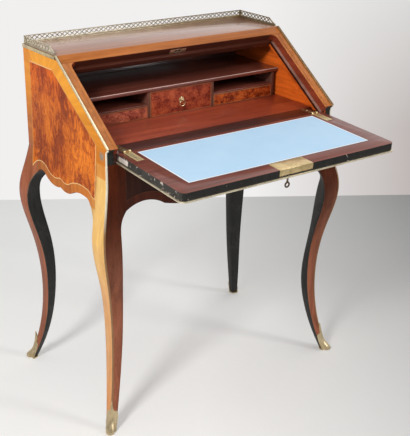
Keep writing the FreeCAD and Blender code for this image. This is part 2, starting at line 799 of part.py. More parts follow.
def make_lock():
    """Lock: a case with its L-shaped plate, the bolt, the key and the escutcheon on the outer face.

    Gives the room that the fall panel leaves for it."""
    front = "-fall_length"
    key_y = f"{front} + key_setback"
    box_depth = "(lock_depth - lock_plate_thick)"
    shells = []
    for name, size, low in (
        ("lock_top", ("lock_width", "lock_depth", "lock_plate_thick"), "-lock_plate_thick"),
        ("lock_edge", ("lock_width", "lock_plate_thick", "lock_edge_height"), "-lock_edge_height"),
        ("lock_box", ("lock_case_width", box_depth, "lock_case_height"), "-lock_case_height"),
    ):
        shells.append(board(name, size, (f"-{size[0]} / 2", front, low), "fall"))
    wide = "(lock_case_width - 2 * lock_wall)"
    deep = f"{box_depth} - lock_plate_thick - lock_wall"
    high = "lock_case_height - lock_plate_thick - 2 * lock_wall"
    cavity_at = (f"-{wide} / 2", f"{front} + lock_plate_thick", "-lock_case_height + lock_wall")
    cavity = board("lock_cavity", (wide, deep, high), cavity_at, "fall")
    slot_size = ("bolt_width + 2 * bolt_gap", "lock_plate_thick", "bolt_height + 2 * bolt_gap")
    slot_at = ("-bolt_width / 2 - bolt_gap", front, "-bolt_under - bolt_height - bolt_gap")
    slot = board("bolt_slot", slot_size, slot_at, "fall")
    keyhole_at = ("0", key_y, "-fall_thick - escutcheon_thick")
    keyhole_long = "fall_thick + escutcheon_thick - lock_case_height + lock_wall"
    keyhole = rod("keyhole", "key_radius + key_gap", keyhole_long, keyhole_at, "fall")
    keep(cut("lock_case", join("lock_shell", *shells), cavity, slot, keyhole))
    bolt_at = ("-bolt_width / 2", f"{front} + bolt_gap", "-bolt_under - bolt_height")
    keep(board("lock_bolt", ("bolt_width", "bolt_length", "bolt_height"), bolt_at, "fall"))
    plate_at = ("0", key_y, "-fall_thick - escutcheon_thick")
    plate = rod("escutcheon_blank", "escutcheon_radius", "escutcheon_thick", plate_at, "fall")
    keep(cut("escutcheon", plate, keyhole))
    stem_top = "bolt_under"
    stem_long = f"fall_thick + key_length - 2 * key_bow_radius - {stem_top}"
    stem = rod("key_stem", "key_radius", stem_long, ("0", key_y, f"-{stem_top} - ({stem_long})"), "fall")
    bit_size = ("key_bit_length", "key_bit_thick", "bolt_height - bolt_gap")
    bit_at = ("0", f"{key_y} - key_bit_thick / 2", f"-{stem_top} - bolt_height + bolt_gap")
    bit = board("key_bit", bit_size, bit_at, "fall")
    bow = doc.addObject("Part::Torus", "key_bow")
    bow.setExpression("Radius1", formula("key_bow_radius"))
    bow.setExpression("Radius2", formula("key_bow_wire"))
    upright = Rotation(Vector(1, 0, 0), 90 + value("fall_droop"))
    place(bow, ("0", key_y, "-fall_thick - key_length + key_bow_radius"), "fall", upright)
    keep(join("key", stem, bit, bow))
    return shells + [keyhole]


def make_fall(room):
    """Fall front: panel, brass lip under three edges, leather writing surface, plates on the side edges."""
    length = "(fall_length - heel_gap)"

    def rounded(width, long, corner):
        return [
            ("0", long),
            ("0", corner, corner, -1),
            (corner, "0"),
            (f"{width} - ({corner})", "0", corner, -1),
            (width, corner),
            (width, long),
        ]

    at = ("-fall_width / 2", "-fall_length", "-fall_thick")
    outline = rounded("fall_width", length, "fall_corner")
    panel = sawn("fall_blank", "XY_Plane", outline, "fall_thick", at, "fall")
    wide = "(fall_width - 2 * leather_side)"
    long = "(fall_length - lock_depth - leather_rear)"
    leather_at = (f"-{wide} / 2", "-leather_rear - " + long, "-leather_thick")
    leather = keep(board("leather_inset", (wide, long, "leather_thick"), leather_at, "fall"))
    plates = []
    for side, _, low in both_sides("fall_width / 2 - edge_plate_thick", "fall_width / 2"):
        size = ("edge_plate_thick", "edge_plate_length", "edge_plate_height")
        plate_at = (low, "-edge_plate_start - edge_plate_length", "-fall_thick / 2 - edge_plate_height / 2")
        plates.append(board(f"edge_plate_{side}", size, plate_at, "fall"))
    keep(group("fall_edge_plates", *plates))
    keep(cut("fall_panel", panel, leather, *plates, *room))
    lip_wide = "(fall_width + 2 * lip_overhang)"
    lip_long = f"({length} + lip_overhang)"
    outside = rounded(lip_wide, lip_long, "(fall_corner + lip_overhang)")
    inside = [
        (f"{lip_wide} - lip_width", lip_long),
        (f"{lip_wide} - lip_width", "lip_width"),
        ("lip_width", "lip_width"),
        ("lip_width", lip_long),
    ]
    at = (f"-{lip_wide} / 2", "-fall_length - lip_overhang", "-fall_thick - lip_thick")
    keep(sawn("fall_lip", "XY_Plane", outside + inside, "lip_thick", at, "fall"))


def pierced_strip(length, slope):
    """A gallery strip along X: base moulding, crossed bars, top rail. One end falls away by slope."""
    height = value("gallery_height")
    thick = value("gallery_thick")
    base_high = value("gallery_base_height")
    base_wide = value("gallery_base_width")
    rail_high = value("gallery_rail_height")
    rail_wide = value("gallery_rail_width")
    pitch = value("lattice_pitch")
    corners = [Vector(0, 0, 0), Vector(length, 0, 0), Vector(length, 0, height), Vector(slope, 0, height)]
    if slope > 0:
        corners.append(Vector(0, 0, base_high))
    outline = Part.Face(Part.makePolygon(corners + corners[:1]))
    middle = (base_high + height - rail_high) / 2
    half = (height - rail_high - base_high) / 2 - value("lattice_margin")
    # Half a bar's width, measured level across its slope
    waist = value("lattice_bar") / 2**0.5
    wide = min(pitch / 2 - waist, half)
    count = int((length - 2 * (wide + base_wide)) / pitch) + 1
    start = (length - (count - 1) * pitch) / 2
    openings = []
    for number in range(count):
        across = start + number * pitch
        openings.append([(across - wide, 0), (across, -wide), (across + wide, 0), (across, wide)])
        if number < count - 1:
            left, crossing, right = (across + pitch / 2 + side * (half - waist) for side in (-1, 0, 1))
            for up in (-1, 1):
                openings.append([(left, up * half), (right, up * half), (crossing, up * waist)])
    faces = []
    for opening in openings:
        points = [Vector(x, 0, middle + z) for x, z in opening]
        # The sloping end is as far along as this at the top of the opening
        end = slope * (max(point.z for point in points) - base_high) / (height - base_high)
        if min(point.x for point in points) > end + base_wide / 2:
            faces.append(Part.Face(Part.makePolygon(points + points[:1])))
    band = outline.cut(Part.makeCompound(faces)).extrude(Vector(0, thick, 0))
    base = Part.makeBox(length, base_wide, base_high, Vector(0, (thick - base_wide) / 2, 0))
    rail_at = Vector(slope, (thick - rail_wide) / 2, height - rail_high)
    rail = Part.makeBox(length - slope, rail_wide, rail_high, rail_at)
    return band.fuse([base, rail]).removeSplitter()


def make_gallery():
    """Three-quarter brass gallery round the top, open to the front."""
    edge = "gallery_inset + gallery_base_width / 2"
    back_long = value("case_width - 2 * gallery_inset")
    side_long = value("top_depth - gallery_front - gallery_inset - gallery_base_width")
    middle = f"case_width / 2 - ({edge})"
    # A strip's own Y runs across its thickness, so half of that centres it on its line
    half = "gallery_thick / 2"
    front = "gallery_front - top_depth"
    back_strip = pierced_strip(back_long, 0)
    side_strip = pierced_strip(side_long, value("gallery_slope"))
    strips = {
        "gallery_back": (back_strip, "gallery_inset - case_width / 2", f"-({edge}) - {half}", 0),
        "gallery_left": (side_strip, f"-({middle}) + {half}", front, 90),
        "gallery_right": (side_strip, f"{middle} + {half}", front, 90),
    }
    for name, (strip, x, y, angle) in strips.items():
        piece = doc.addObject("Part::Feature", name)
        piece.Shape = strip
        keep(place(piece, (x, y, "top_height"), turn=Rotation(Vector(0, 0, 1), angle)))


def make_mouldings():
    """Brass strips along the slanted edges and along the side edges of the top."""
    slants = []
    edges = []
    outer = "case_width / 2 + slant_strip_proud"
    for side, _, low in both_sides(f"{outer} - slant_strip_width", outer):
        size = ("slant_strip_width", "slant_length", "slant_strip_thick")
        slants.append(board(f"slant_moulding_{side}", size, (low, "0", "0"), "slant"))
    for side, _, low in both_sides("case_width / 2", "case_width / 2 + top_strip_thick"):
        size = ("top_strip_thick", "top_depth", "top_strip_height")
        at = (low, "-top_depth", "top_height - top_strip_height")
        edges.append(board(f"top_moulding_{side}", size, at))
    keep(group("slant_mouldings", *slants))
    keep(group("top_edge_mouldings", *edges))


def write_parts():
    """Check every object and every sub-part, then write each sub-part under its own name."""
    doc.recompute()
    for item in doc.Objects:
        if "Invalid" in item.State or "Error" in item.State:
            raise RuntimeError(f"{item.Label} did not build: {item.State}")
    for piece in nodes:
        piece.Label = piece.Name
        if piece.Shape.isNull() or not piece.Shape.isValid() or not piece.Shape.Solids:
            raise RuntimeError(f"{piece.Label} has no sound shape")
    os.makedirs("parts", exist_ok=True)
    for piece in nodes:
        piece.Shape.exportStep(f"parts/{piece.Label}.step")
    print(len(nodes), "sub-parts")


make_sides()
make_aprons()
make_boards()
make_legs()
rail_blank = make_top_rail()
make_strike(rail_blank)
make_stiles(rail_blank)
make_fitment()
make_drawers()
make_ring_pull()
floor_room, fall_hinge_room = make_hinges()
make_floor(floor_room)
make_fall(fall_hinge_room + make_lock())
make_gallery()
make_mouldings()
write_parts()
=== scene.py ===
from math import atan2, cos, exp, pi, radians, sin, sqrt, tan

import bmesh
import bpy
from mathutils import Matrix, Vector
from mathutils.bvhtree import BVHTree


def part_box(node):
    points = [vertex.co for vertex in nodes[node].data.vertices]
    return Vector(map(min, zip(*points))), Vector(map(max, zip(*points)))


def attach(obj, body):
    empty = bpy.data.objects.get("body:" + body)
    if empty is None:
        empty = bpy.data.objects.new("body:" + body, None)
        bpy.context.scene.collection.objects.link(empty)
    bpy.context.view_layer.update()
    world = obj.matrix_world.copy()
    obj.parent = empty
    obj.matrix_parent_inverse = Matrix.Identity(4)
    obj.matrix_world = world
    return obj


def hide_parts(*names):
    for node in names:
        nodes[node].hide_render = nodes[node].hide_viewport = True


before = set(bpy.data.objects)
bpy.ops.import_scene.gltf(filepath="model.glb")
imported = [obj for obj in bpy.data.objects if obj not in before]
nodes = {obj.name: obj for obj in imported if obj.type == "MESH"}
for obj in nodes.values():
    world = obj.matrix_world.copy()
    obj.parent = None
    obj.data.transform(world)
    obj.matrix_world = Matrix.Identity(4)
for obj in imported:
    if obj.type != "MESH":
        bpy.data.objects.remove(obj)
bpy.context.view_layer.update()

scene = bpy.context.scene


# Legs: four cabriole legs sawn from beech, with posts let into the corners of the case. Their outer
# faces are veneered, honey maple on the front legs' sides and red mahogany elsewhere, and french
# polished; their inner faces are stained black.

def add(tree, kind, inputs, **settings):
    """A node with its settings; an input is a plain value, three parts of a colour, or a feeding socket."""
    prefix = "" if "Node" in kind else tree.bl_idname.replace("NodeTree", "Node")
    node = tree.nodes.new(prefix + kind)
    for name, value in settings.items():
        setattr(node, name, value)
    for name, value in inputs.items():
        socket = node.inputs[name]
        if isinstance(value, bpy.types.NodeSocket):
            tree.links.new(value, socket)
        else:
            socket.default_value = (*value, 1) if socket.type == "RGBA" else value
    return node


def mixed(tree, share, first, second, way="MIX"):
    """A colour between two colours, or one laid on the other."""
    return add(tree, "Mix", {0: share, 6: first, 7: second}, data_type="RGBA", blend_type=way).outputs[2]


def spread(tree, value, low, high, to_low=0.0, to_high=1.0):
    """A value stretched from one range to another and held there."""
    ends = {"From Min": low, "From Max": high, "To Min": to_low, "To Max": to_high}
    return add(tree, "MapRange", {"Value": value, **ends}).outputs[0]


def worked(tree, way, first, second=0.0):
    """The sum, product or other working of two values."""
    return add(tree, "Math", {0: first, 1: second}, operation=way).outputs[0]


def cloud(tree, vector, scale, detail=4.0, roughness=0.55, distortion=0.0):
    """Smooth noise from nought to one."""
    shape = {"Scale": scale, "Detail": detail, "Roughness": roughness, "Distortion": distortion}
    return add(tree, "TexNoise", {"Vector": vector, **shape}).outputs[0]


def effect(name, inputs, outputs):
    """An empty shader node group with named sockets: the group, what it is given, what it puts out."""
    tree = bpy.data.node_groups.new(name, "ShaderNodeTree")
    for label, kind, value in inputs:
        socket = tree.interface.new_socket(label, in_out="INPUT", socket_type="NodeSocket" + kind)
        if value is not None:
            socket.default_value = (*value, 1) if kind == "Color" else value
    for label, kind in outputs:
        tree.interface.new_socket(label, in_out="OUTPUT", socket_type="NodeSocket" + kind)
    return tree, tree.nodes.new("NodeGroupInput").outputs, tree.nodes.new("NodeGroupOutput").inputs


def feed(tree, sockets, **values):
    """Link a group's results to its output sockets."""
    for label, value in values.items():
        tree.links.new(value, sockets[label])


def make_grain():
    """Straight-grained wood with its grain along the vector's Z: broad streaks, fibres and pores."""
    tree, given, result = effect(
        "Straight grain",
        [("Vector", "Vector", None), ("Dark", "Color", (0.1, 0.03, 0.01)),
         ("Light", "Color", (0.4, 0.15, 0.05)), ("Figure", "Float", 0.5), ("Pores", "Float", 0.5)],
        [("Color", "Color"), ("Roughness", "Float"), ("Height", "Float")],
    )
    vector = given["Vector"]
    streaks = worked(tree, "MULTIPLY", spread(tree, cloud(tree, vector, 1.0, 5.0, 0.6, 0.7), 0.3, 0.7),
                     given["Figure"])
    fibres = cloud(tree, vector, 7.0, 4.0, 0.65)
    drift = spread(tree, cloud(tree, vector, 0.25, 2.0, 0.5), 0.3, 0.7, -0.1, 0.15)
    share = worked(tree, "ADD", worked(tree, "ADD", streaks, worked(tree, "MULTIPLY", fibres, 0.5)), drift)
    pores = spread(tree, cloud(tree, vector, 16.0, 2.0, 0.5), 0.60, 0.72)
    pores = worked(tree, "MULTIPLY", pores, given["Pores"])
    colour = mixed(tree, pores, mixed(tree, share, given["Dark"], given["Light"]), given["Dark"])
    feed(tree, result, Color=colour, Roughness=spread(tree, fibres, 0.2, 0.8, 0.24, 0.40),
         Height=worked(tree, "SUBTRACT", fibres, pores))
    return tree


def make_polish():
    """French polish after a century: soiled hollows, rubbed places, and how dull each of them is."""
    tree, given, result = effect(
        "Worn polish",
        [("Vector", "Vector", None), ("Color", "Color", (0.5, 0.5, 0.5)), ("Roughness", "Float", 0.3),
         ("Amount", "Float", 0.5)],
        [("Color", "Color"), ("Roughness", "Float")],
    )
    soil = spread(tree, cloud(tree, given["Vector"], 9.0, 5.0, 0.6), 0.45, 0.75)
    rubbed = spread(tree, cloud(tree, given["Vector"], 23.0, 6.0, 0.7, 0.5), 0.62, 0.8)
    darker = mixed(tree, 1.0, given["Color"], (0.62, 0.55, 0.5), "MULTIPLY")
    lighter = mixed(tree, 1.0, given["Color"], (1.25, 1.18, 1.1), "MULTIPLY")
    colour = mixed(tree, worked(tree, "MULTIPLY", soil, given["Amount"]), given["Color"], darker)
    colour = mixed(tree, worked(tree, "MULTIPLY", rubbed, given["Amount"]), colour, lighter)
    dulled = worked(tree, "ADD", given["Roughness"], worked(tree, "MULTIPLY", rubbed, 0.12))
    feed(tree, result, Color=colour, Roughness=dulled)
    return tree


grain_group = make_grain()
polish_group = make_polish()


def new_material(name, **constants):
    """A material with a principled shader; the constants are set on its own sockets."""
    material = bpy.data.materials.new(name)
    material.use_nodes = True
    shader = material.node_tree.nodes["Principled BSDF"]
    for label, value in constants.items():
        shader.inputs[label.replace("_", " ").title().replace("Ior", "IOR")].default_value = value
    return material, material.node_tree, shader


def placed(tree, group, **inputs):
    """A shader node group set into a material, by its outputs."""
    return add(tree, "Group", inputs, node_tree=group).outputs


def coordinates(tree, scale=(1, 1, 1), source="Object", turn=(0, 0, 0)):
    """A piece's own coordinates, stretched and turned so that a pattern runs the right way."""
    vector = add(tree, "TexCoord", {}).outputs[source]
    return add(tree, "Mapping", {"Vector": vector, "Scale": scale, "Rotation": turn}).outputs[0]


def along_axis(tree, axis, low, high):
    """From nought to one along one axis of the piece's own coordinates."""
    parts = add(tree, "SeparateXYZ", {0: add(tree, "TexCoord", {}).outputs["Object"]}).outputs
    return spread(tree, parts[axis], low, high)


def faded(tree, colour, fades):
    """A colour tinted along the piece; each fade is an axis, its two ends and a tint."""
    for axis, low, high, tint in fades:
        tinted = mixed(tree, 1.0, colour, tint, "MULTIPLY")
        colour = mixed(tree, along_axis(tree, axis, low, high), colour, tinted)
    return colour


def finish_surface(tree, shader, colour, roughness, height, strength=0.12, depth=0.0004):
    """Link colour, roughness and relief to a shader."""
    tree.links.new(colour, shader.inputs["Base Color"])
    tree.links.new(roughness, shader.inputs["Roughness"])
    bump = add(tree, "Bump", {"Height": height, "Strength": strength, "Distance": depth})
    tree.links.new(bump.outputs[0], shader.inputs["Normal"])


def polished(tree, shader, colour, figure, wear, strength, source="Object"):
    """French polish over a colour, with the gloss and the relief of the figure below it."""
    worn = placed(tree, polish_group, Vector=coordinates(tree, source=source), Color=colour,
                  Roughness=figure["Roughness"], Amount=wear)
    finish_surface(tree, shader, worn["Color"], worn["Roughness"], figure["Height"], strength)


GRAIN_ALONG = 3.5
GRAIN_ACROSS = 55.0


def wood(name, dark, light, along="Z", source="Object", figure=0.6, pores=0.5, wear=0.4, coat=0.03,
         shine=0.12, fades=()):
    """Polished straight-grained wood. Along names the axis of its grain; each fade tints it along one."""
    material, tree, shader = new_material(name, coat_weight=coat, coat_roughness=0.12,
                                          specular_ior_level=shine)
    scale = [GRAIN_ALONG if axis == along else GRAIN_ACROSS for axis in "XYZ"]
    turn = {"X": (0, -pi / 2, 0), "Y": (pi / 2, 0, 0), "Z": (0, 0, 0)}[along]
    stretched = coordinates(tree, scale, source)
    turned = add(tree, "VectorRotate", {"Vector": stretched, "Rotation": turn},
                 rotation_type="EULER_XYZ").outputs[0]
    grain = placed(tree, grain_group, Vector=turned, Dark=dark, Light=light, Figure=figure, Pores=pores)
    polished(tree, shader, faded(tree, grain["Color"], fades), grain, wear, 0.12, source)
    return material


def make_ebonised(name, chips, rub=0.58, pale=(0.028, 0.027, 0.024)):
    """Black stained wood: a little grain in its gloss, grey where it is rubbed, bare at the chips."""
    material, tree, shader = new_material(name, specular_ior_level=0.2)
    plain = coordinates(tree)
    fibres = cloud(tree, coordinates(tree, (40, 40, 4)), 4.0, 5.0, 0.6)
    rubbed = spread(tree, cloud(tree, plain, 30.0, 6.0, 0.7, 0.6), rub, rub + 0.2, 0.0, 0.5)
    bare = spread(tree, cloud(tree, plain, 75.0, 3.0, 0.6, 1.0), chips, chips + 0.03)
    colour = mixed(tree, fibres, (0.009, 0.009, 0.008), pale)
    colour = mixed(tree, rubbed, colour, (0.075, 0.066, 0.056))
    colour = mixed(tree, bare, colour, (0.52, 0.45, 0.38))
    height = worked(tree, "SUBTRACT", worked(tree, "MULTIPLY", fibres, 0.3), bare)
    finish_surface(tree, shader, colour, spread(tree, fibres, 0.2, 0.8, 0.3, 0.5), height, 0.3, 0.0008)
    return material


HONEY_JOINT = ("Z", 0.672, 0.674, (0.86, 0.58, 0.36))
black_leg = make_ebonised("black_leg_stain", 0.78, 0.52, (0.048, 0.048, 0.045))
honey_leg = wood("honey_leg_veneer", (0.70, 0.34, 0.085), (1.00, 0.64, 0.21), pores=0.3, wear=0.5,
                 fades=[HONEY_JOINT, ("Z", 0.52, 0.36, (0.93, 0.80, 1.05)),
                        ("Z", 0.24, 0.06, (0.88, 0.74, 0.70))])
red_leg = wood("red_leg_veneer", (0.17, 0.048, 0.024), (0.46, 0.150, 0.075),
               fades=[("Z", 0.56, 0.66, (1.20, 1.15, 0.75))])
# The front faces darken towards the top: painted shade, for the shadow that the fall casts on the front
# legs.
shaded_front_leg = wood("front_leg_veneer", (0.088, 0.028, 0.015), (0.39, 0.130, 0.068), figure=0.9,
                 pores=0.8, fades=[("Z", 0.30, 0.52, (0.42, 0.38, 0.36)),
                                   ("Z", 0.50, 0.60, (0.60, 0.37, 0.18))])
rubbed_edge = wood("rubbed_leg_edge", (0.10, 0.070, 0.050), (0.24, 0.17, 0.12), wear=0.6)


def add_piece(name, mesh, materials, body, slot, *replaced):
    """A finished mesh as a piece of the desk: its materials, its body, the nodes it stands for; slot is not
    used.
    """
    piece = bpy.data.objects.new(name, mesh)
    scene.collection.objects.link(piece)
    for material in materials:
        mesh.materials.append(material)
    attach(piece, body)
    if replaced:
        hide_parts(*replaced)
    return piece


def cad_shape(name):
    """A node's solids as a closed bmesh whose flat faces are whole again."""
    shape = bmesh.new()
    shape.from_mesh(nodes[name].data)
    bmesh.ops.remove_doubles(shape, verts=shape.verts, dist=1e-6)
    bmesh.ops.dissolve_limit(shape, angle_limit=radians(0.4), verts=shape.verts, edges=shape.edges)
    return shape


FLAT_TURN = radians(0.3)
SMOOTH_TURN = radians(33)


def eased(shape, width, segments=2, turn=radians(40)):
    """Take the sharpness off a solid's edges; flat faces stay flat and curved ones are shaded smooth."""
    for face in shape.faces:
        bends = [edge.calc_face_angle(0) for edge in face.edges if edge.is_manifold]
        face.smooth = any(FLAT_TURN < bend < SMOOTH_TURN for bend in bends)
    sharp = [edge for edge in shape.edges if edge.is_manifold and edge.calc_face_angle(0) > turn]
    made = bmesh.ops.bevel(shape, geom=sharp, offset=width, offset_type="OFFSET", segments=segments,
                           profile=0.5, affect="EDGES", clamp_overlap=True)
    for face in made["faces"]:
        face.smooth = True
    return shape


def to_mesh(shape, name, painter=None):
    """A bmesh made a mesh; painter chooses each face's material by its normal and its middle."""
    if painter:
        for face in shape.faces:
            face.material_index = painter(face.normal, face.calc_center_median())
    mesh = bpy.data.meshes.new(name)
    shape.to_mesh(mesh)
    shape.free()
    mesh.set_sharp_from_angle(angle=SMOOTH_TURN)
    return mesh


def add_copy(name, node, materials, body, slot, ease, painter=None, segments=2):
    """A node's own shape with its edges eased and its faces painted, in place of the node."""
    mesh = to_mesh(eased(cad_shape(node), ease, segments), name, painter)
    return add_piece(name, mesh, materials, body, slot, node)


LEG_EASE = 0.0016
CORNERS = {"front_left": (-1, -1), "front_right": (1, -1), "rear_left": (-1, 1), "rear_right": (1, 1)}
for corner, (side, end) in CORNERS.items():

    def leg_painter(normal, middle, side=side, end=end):
        """The outer side, the front or back, the black inner faces, and the rubbed edges between."""
        across, along = normal.x * side, normal.y * end
        if max(across, along) > 0.3 and min(across, along) < -0.3:
            return 3
        if across > 0.35 and across > abs(along):
            return 0
        return 1 if along > 0.35 else 2

    veneers = [honey_leg, shaded_front_leg] if end < 0 else [red_leg, red_leg]
    veneers += [black_leg, rubbed_edge]
    add_copy(f"cabriole_leg_{corner}", f"leg_{corner}", veneers, "carcass", "leg_veneer", LEG_EASE,
             leg_painter)


# Sabots: cast and gilt brass shoes pinned over the feet. Each has a rounded toe, a pointed leaf that runs
# up the arris and sides that wrap the outer faces; the leg's inner faces are bare almost to the floor.
# The leaf of the rear left one is bent outward.

def make_brass(name, tone, tarnish, amount, dull=0.0, fades=(), metal=1.0):
    """Old gilt brass: clean metal, brown tarnish in its hollows, and a cloudy gloss."""
    material, tree, shader = new_material(name, metallic=metal)
    plain = coordinates(tree)
    patches = spread(tree, cloud(tree, plain, 38.0, 6.0, 0.65, 0.4), 0.40, 0.72, 0.0, amount)
    specks = spread(tree, cloud(tree, plain, 240.0, 3.0, 0.6), 0.60, 0.72, 0.0, amount * 0.7)
    colour = mixed(tree, specks, mixed(tree, patches, tone, tarnish), [0.5 * part for part in tarnish])
    colour = faded(tree, colour, fades)
    gloss = spread(tree, cloud(tree, plain, 90.0, 4.0, 0.6), 0.2, 0.8, 0.20 + dull, 0.36 + dull)
    finish_surface(tree, shader, colour, gloss, cloud(tree, plain, 160.0, 3.0, 0.5), 0.15, 0.0003)
    return material


sabot_brass = make_brass("sabot_brass", (0.82, 0.66, 0.40), (0.20, 0.14, 0.065), 0.6, dull=0.08)


def skin_of(*names):
    """The surface of some nodes, to lay other pieces on."""
    corners, faces = [], []
    for name in names:
        mesh = nodes[name].data
        faces += [[len(corners) + index for index in face.vertices] for face in mesh.polygons]
        corners += [vertex.co.copy() for vertex in mesh.vertices]
    return BVHTree.FromPolygons(corners, faces)


def ring_faces(rows):
    """Quads between closed rings of as many points each."""
    count = len(rows[0])
    faces = []
    for low, high in zip(rows, rows[1:]):
        faces += [(low[k], low[(k + 1) % count], high[(k + 1) % count], high[k]) for k in range(count)]
    return faces


def add_solid(shape, rings, smooth=False):
    """A closed solid through rings of as many points each, with its two ends filled."""
    rows = [[shape.verts.new(spot) for spot in ring] for ring in rings]
    faces = [shape.faces.new(corners) for corners in ring_faces(rows)]
    for face in faces:
        face.smooth = smooth
    faces += [shape.faces.new(rows[0][::-1]), shape.faces.new(rows[-1])]
    bmesh.ops.recalc_face_normals(shape, faces=faces)


CASE_HALF = 0.347
FRONT_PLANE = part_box("front_apron")[0].y
BACK_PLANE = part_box("back_panel")[1].y
LEG_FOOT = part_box("leg_front_left")[0].z
SABOT_WALL = 0.0013
SABOT_BEARINGS = 72
SABOT_ROWS = 34
TOE_LENGTH = 0.0110
TOE_RISE = 0.0085
TOE_SWEEP = 0.0145
TOE_SPREAD = 1.05
LEAF_LIFT = {"rear_left": 0.006}
LEAF_RISE = 0.033
LEAF_NARROWING = 0.32
LEAF_RIDGE = 0.0017
SHOE_SIDE = 0.047
SHOE_BEHIND = 0.0045
SHOE_WRAP = 1.88
SHOE_EDGE = 0.06
RIM_BEAD = 0.0007
RIM_PLACE = 0.96
RIM_WIDTH = 0.04
RIM_DEPTH = 0.003
RIDGE_SPREAD = 0.35
LIFT_SPREAD = 0.2
SOLE_TUCK = 0.0018
LOWEST_PROBE = LEG_FOOT + 0.0006
PROBE_INSIDE = -0.15
PROBE_OUTSIDE = 0.10
PROBE_REACH = 0.09


def bump_at(value, middle, width):
    """A smooth hump of height one."""
    return exp(-(((value - middle) / width) ** 2))


def sabot_height(bearing):
    """The upper edge round the shoe: a leaf at the arris, level on the outer faces, low behind."""
    turn = abs(bearing)
    outer = 1 / (1 + exp((turn - SHOE_WRAP) / SHOE_EDGE))
    return SHOE_BEHIND + outer * (SHOE_SIDE + LEAF_RISE * exp(-turn / LEAF_NARROWING))


def toe_reach(bearing, height):
    """How far the toe stands out from the leg: rounded below, and swept up into the leaf."""
    if height < TOE_RISE:
        share = 0.6 + 0.4 * sqrt(1 - ((TOE_RISE - height) / TOE_RISE) ** 2)
    else:
        share = bump_at(height, TOE_RISE, TOE_SWEEP)
    return TOE_LENGTH * exp(-((bearing / TOE_SPREAD) ** 4)) * share


def sabot_mesh(corner, side, end):
    """A shoe wrapped round the foot of one leg."""
    skin = skin_of(f"leg_{corner}", *([f"fillet_{corner}"] if end < 0 else []))
    outward = Vector((side, end, 0)).normalized()
    across = Vector((-outward.y, outward.x, 0))
    post = Vector((side * CASE_HALF, FRONT_PLANE if end < 0 else BACK_PLANE, 0))

    def edge_of(height, far, way):
        start = post + outward * far + Vector((0, 0, height))
        return (skin.ray_cast(start, outward * way)[0] - post).dot(outward)

    def middle_of(height):
        inside, outside = edge_of(height, PROBE_INSIDE, 1), edge_of(height, PROBE_OUTSIDE, -1)
        return post + outward * (inside * 0.4 + outside * 0.6) + Vector((0, 0, height))

    rings = []
    for row in range(SABOT_ROWS + 1):
        share = row / SABOT_ROWS
        ring = []
        for step in range(SABOT_BEARINGS):
            bearing = -pi + 2 * pi * step / SABOT_BEARINGS
            height = share * sabot_height(bearing)
            middle = middle_of(max(height, LOWEST_PROBE))
            way = outward * cos(bearing) + across * sin(bearing)
            hit = skin.ray_cast(middle + way * PROBE_REACH, -way)[0]
            reach = (hit - middle).length + SABOT_WALL
            reach += (RIM_BEAD * bump_at(share, RIM_PLACE, RIM_WIDTH)
                      + LEAF_RIDGE * bump_at(bearing, 0, RIDGE_SPREAD) * share)
            reach += LEAF_LIFT.get(corner, 0) * bump_at(bearing, 0, LIFT_SPREAD) * share**3
            reach += toe_reach(bearing, height)
            if row == 0:
                reach -= SOLE_TUCK
            ring.append(Vector((middle.x, middle.y, height)) + way * reach)
        rings.append(ring)
    lip = []
    for spot in rings[-1]:
        middle = middle_of(max(spot.z, LOWEST_PROBE))
        inward = Vector((middle.x - spot.x, middle.y - spot.y, 0))
        lip.append(spot + inward.normalized() * RIM_DEPTH)
    rings.append(lip)
    shape = bmesh.new()
    add_solid(shape, rings, smooth=True)
    return to_mesh(shape, f"sabot_shoe_{corner}")


for corner, (side, end) in CORNERS.items():
    add_piece(f"sabot_shoe_{corner}", sabot_mesh(corner, side, end), [sabot_brass], "carcass", "gilt_brass",
              f"sabot_{corner}")


# Arris fillets: a strip of brass let into the outer corner of each front leg, from the nose of the
# case down to the sabot, and a short strip that takes it up over the nose to the slanted edge.

# The near-white tone is a painted highlight, and the fade to dull brown below the knee ends it: the strips
# are painted as catching the light only near the top.
highlit_arris_brass = make_brass("highlit_arris_brass", (1.00, 0.93, 0.76), (0.50, 0.38, 0.20), 0.35, dull=0.2,
                         metal=0.4, fades=[("Z", 0.61, 0.55, (0.36, 0.20, 0.11))])
for hand in ("left", "right"):
    add_copy(f"arris_strip_{hand}", f"fillet_front_{hand}", [highlit_arris_brass], "carcass", "gilt_brass",
             ease=0.0005)


def flat_outline(name, axis, level):
    """The corners, in order, of a node's largest flat face at one level of one axis."""
    shape = cad_shape(name)
    found = [face for face in shape.faces if abs(face.normal[axis]) > 0.999
             and abs(face.calc_center_median()[axis] - level) < 1e-4]
    corners = [vertex.co.copy() for vertex in max(found, key=lambda face: face.calc_area()).verts]
    shape.free()
    return corners


LEG_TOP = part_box("leg_front_left")[1].z
NOSE_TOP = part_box("slant_mouldings")[0].z
side_outline = flat_outline("side_left", 0, -CASE_HALF)
nose_points = sorted(((spot.y, spot.z) for spot in side_outline
                      if spot.y < FRONT_PLANE + 0.0005 and LEG_TOP - 1e-4 < spot.z < NOSE_TOP + 1e-4),
                     key=lambda spot: spot[1])


def strip_along(points, place, section):
    """A closed strip swept along points in a plane; section gives its corners as (across, outward)."""
    shape = bmesh.new()
    rings = []
    for index, spot in enumerate(points):
        before, after = points[max(index - 1, 0)], points[min(index + 1, len(points) - 1)]
        run = Vector((after[0] - before[0], after[1] - before[1])).normalized()
        rings.append([place(spot[0] - run.y * out, spot[1] + run.x * out, over) for over, out in section])
    add_solid(shape, rings)
    return shape


STRIP_SECTION = [(0.0008, 0.0003), (0.0005, 0.0009), (-0.0028, 0.0009), (-0.0028, -0.001), (0.0008, -0.002)]
for hand, side in (("left", -1), ("right", 1)):

    def on_side(y, z, over, side=side):
        return Vector((side * (CASE_HALF + over), y, z))

    strip = strip_along(nose_points, on_side, STRIP_SECTION)
    add_piece(f"nose_strip_{hand}", to_mesh(eased(strip, width=0.0003), f"nose_strip_{hand}"),
              [highlit_arris_brass], "carcass", "gilt_brass")


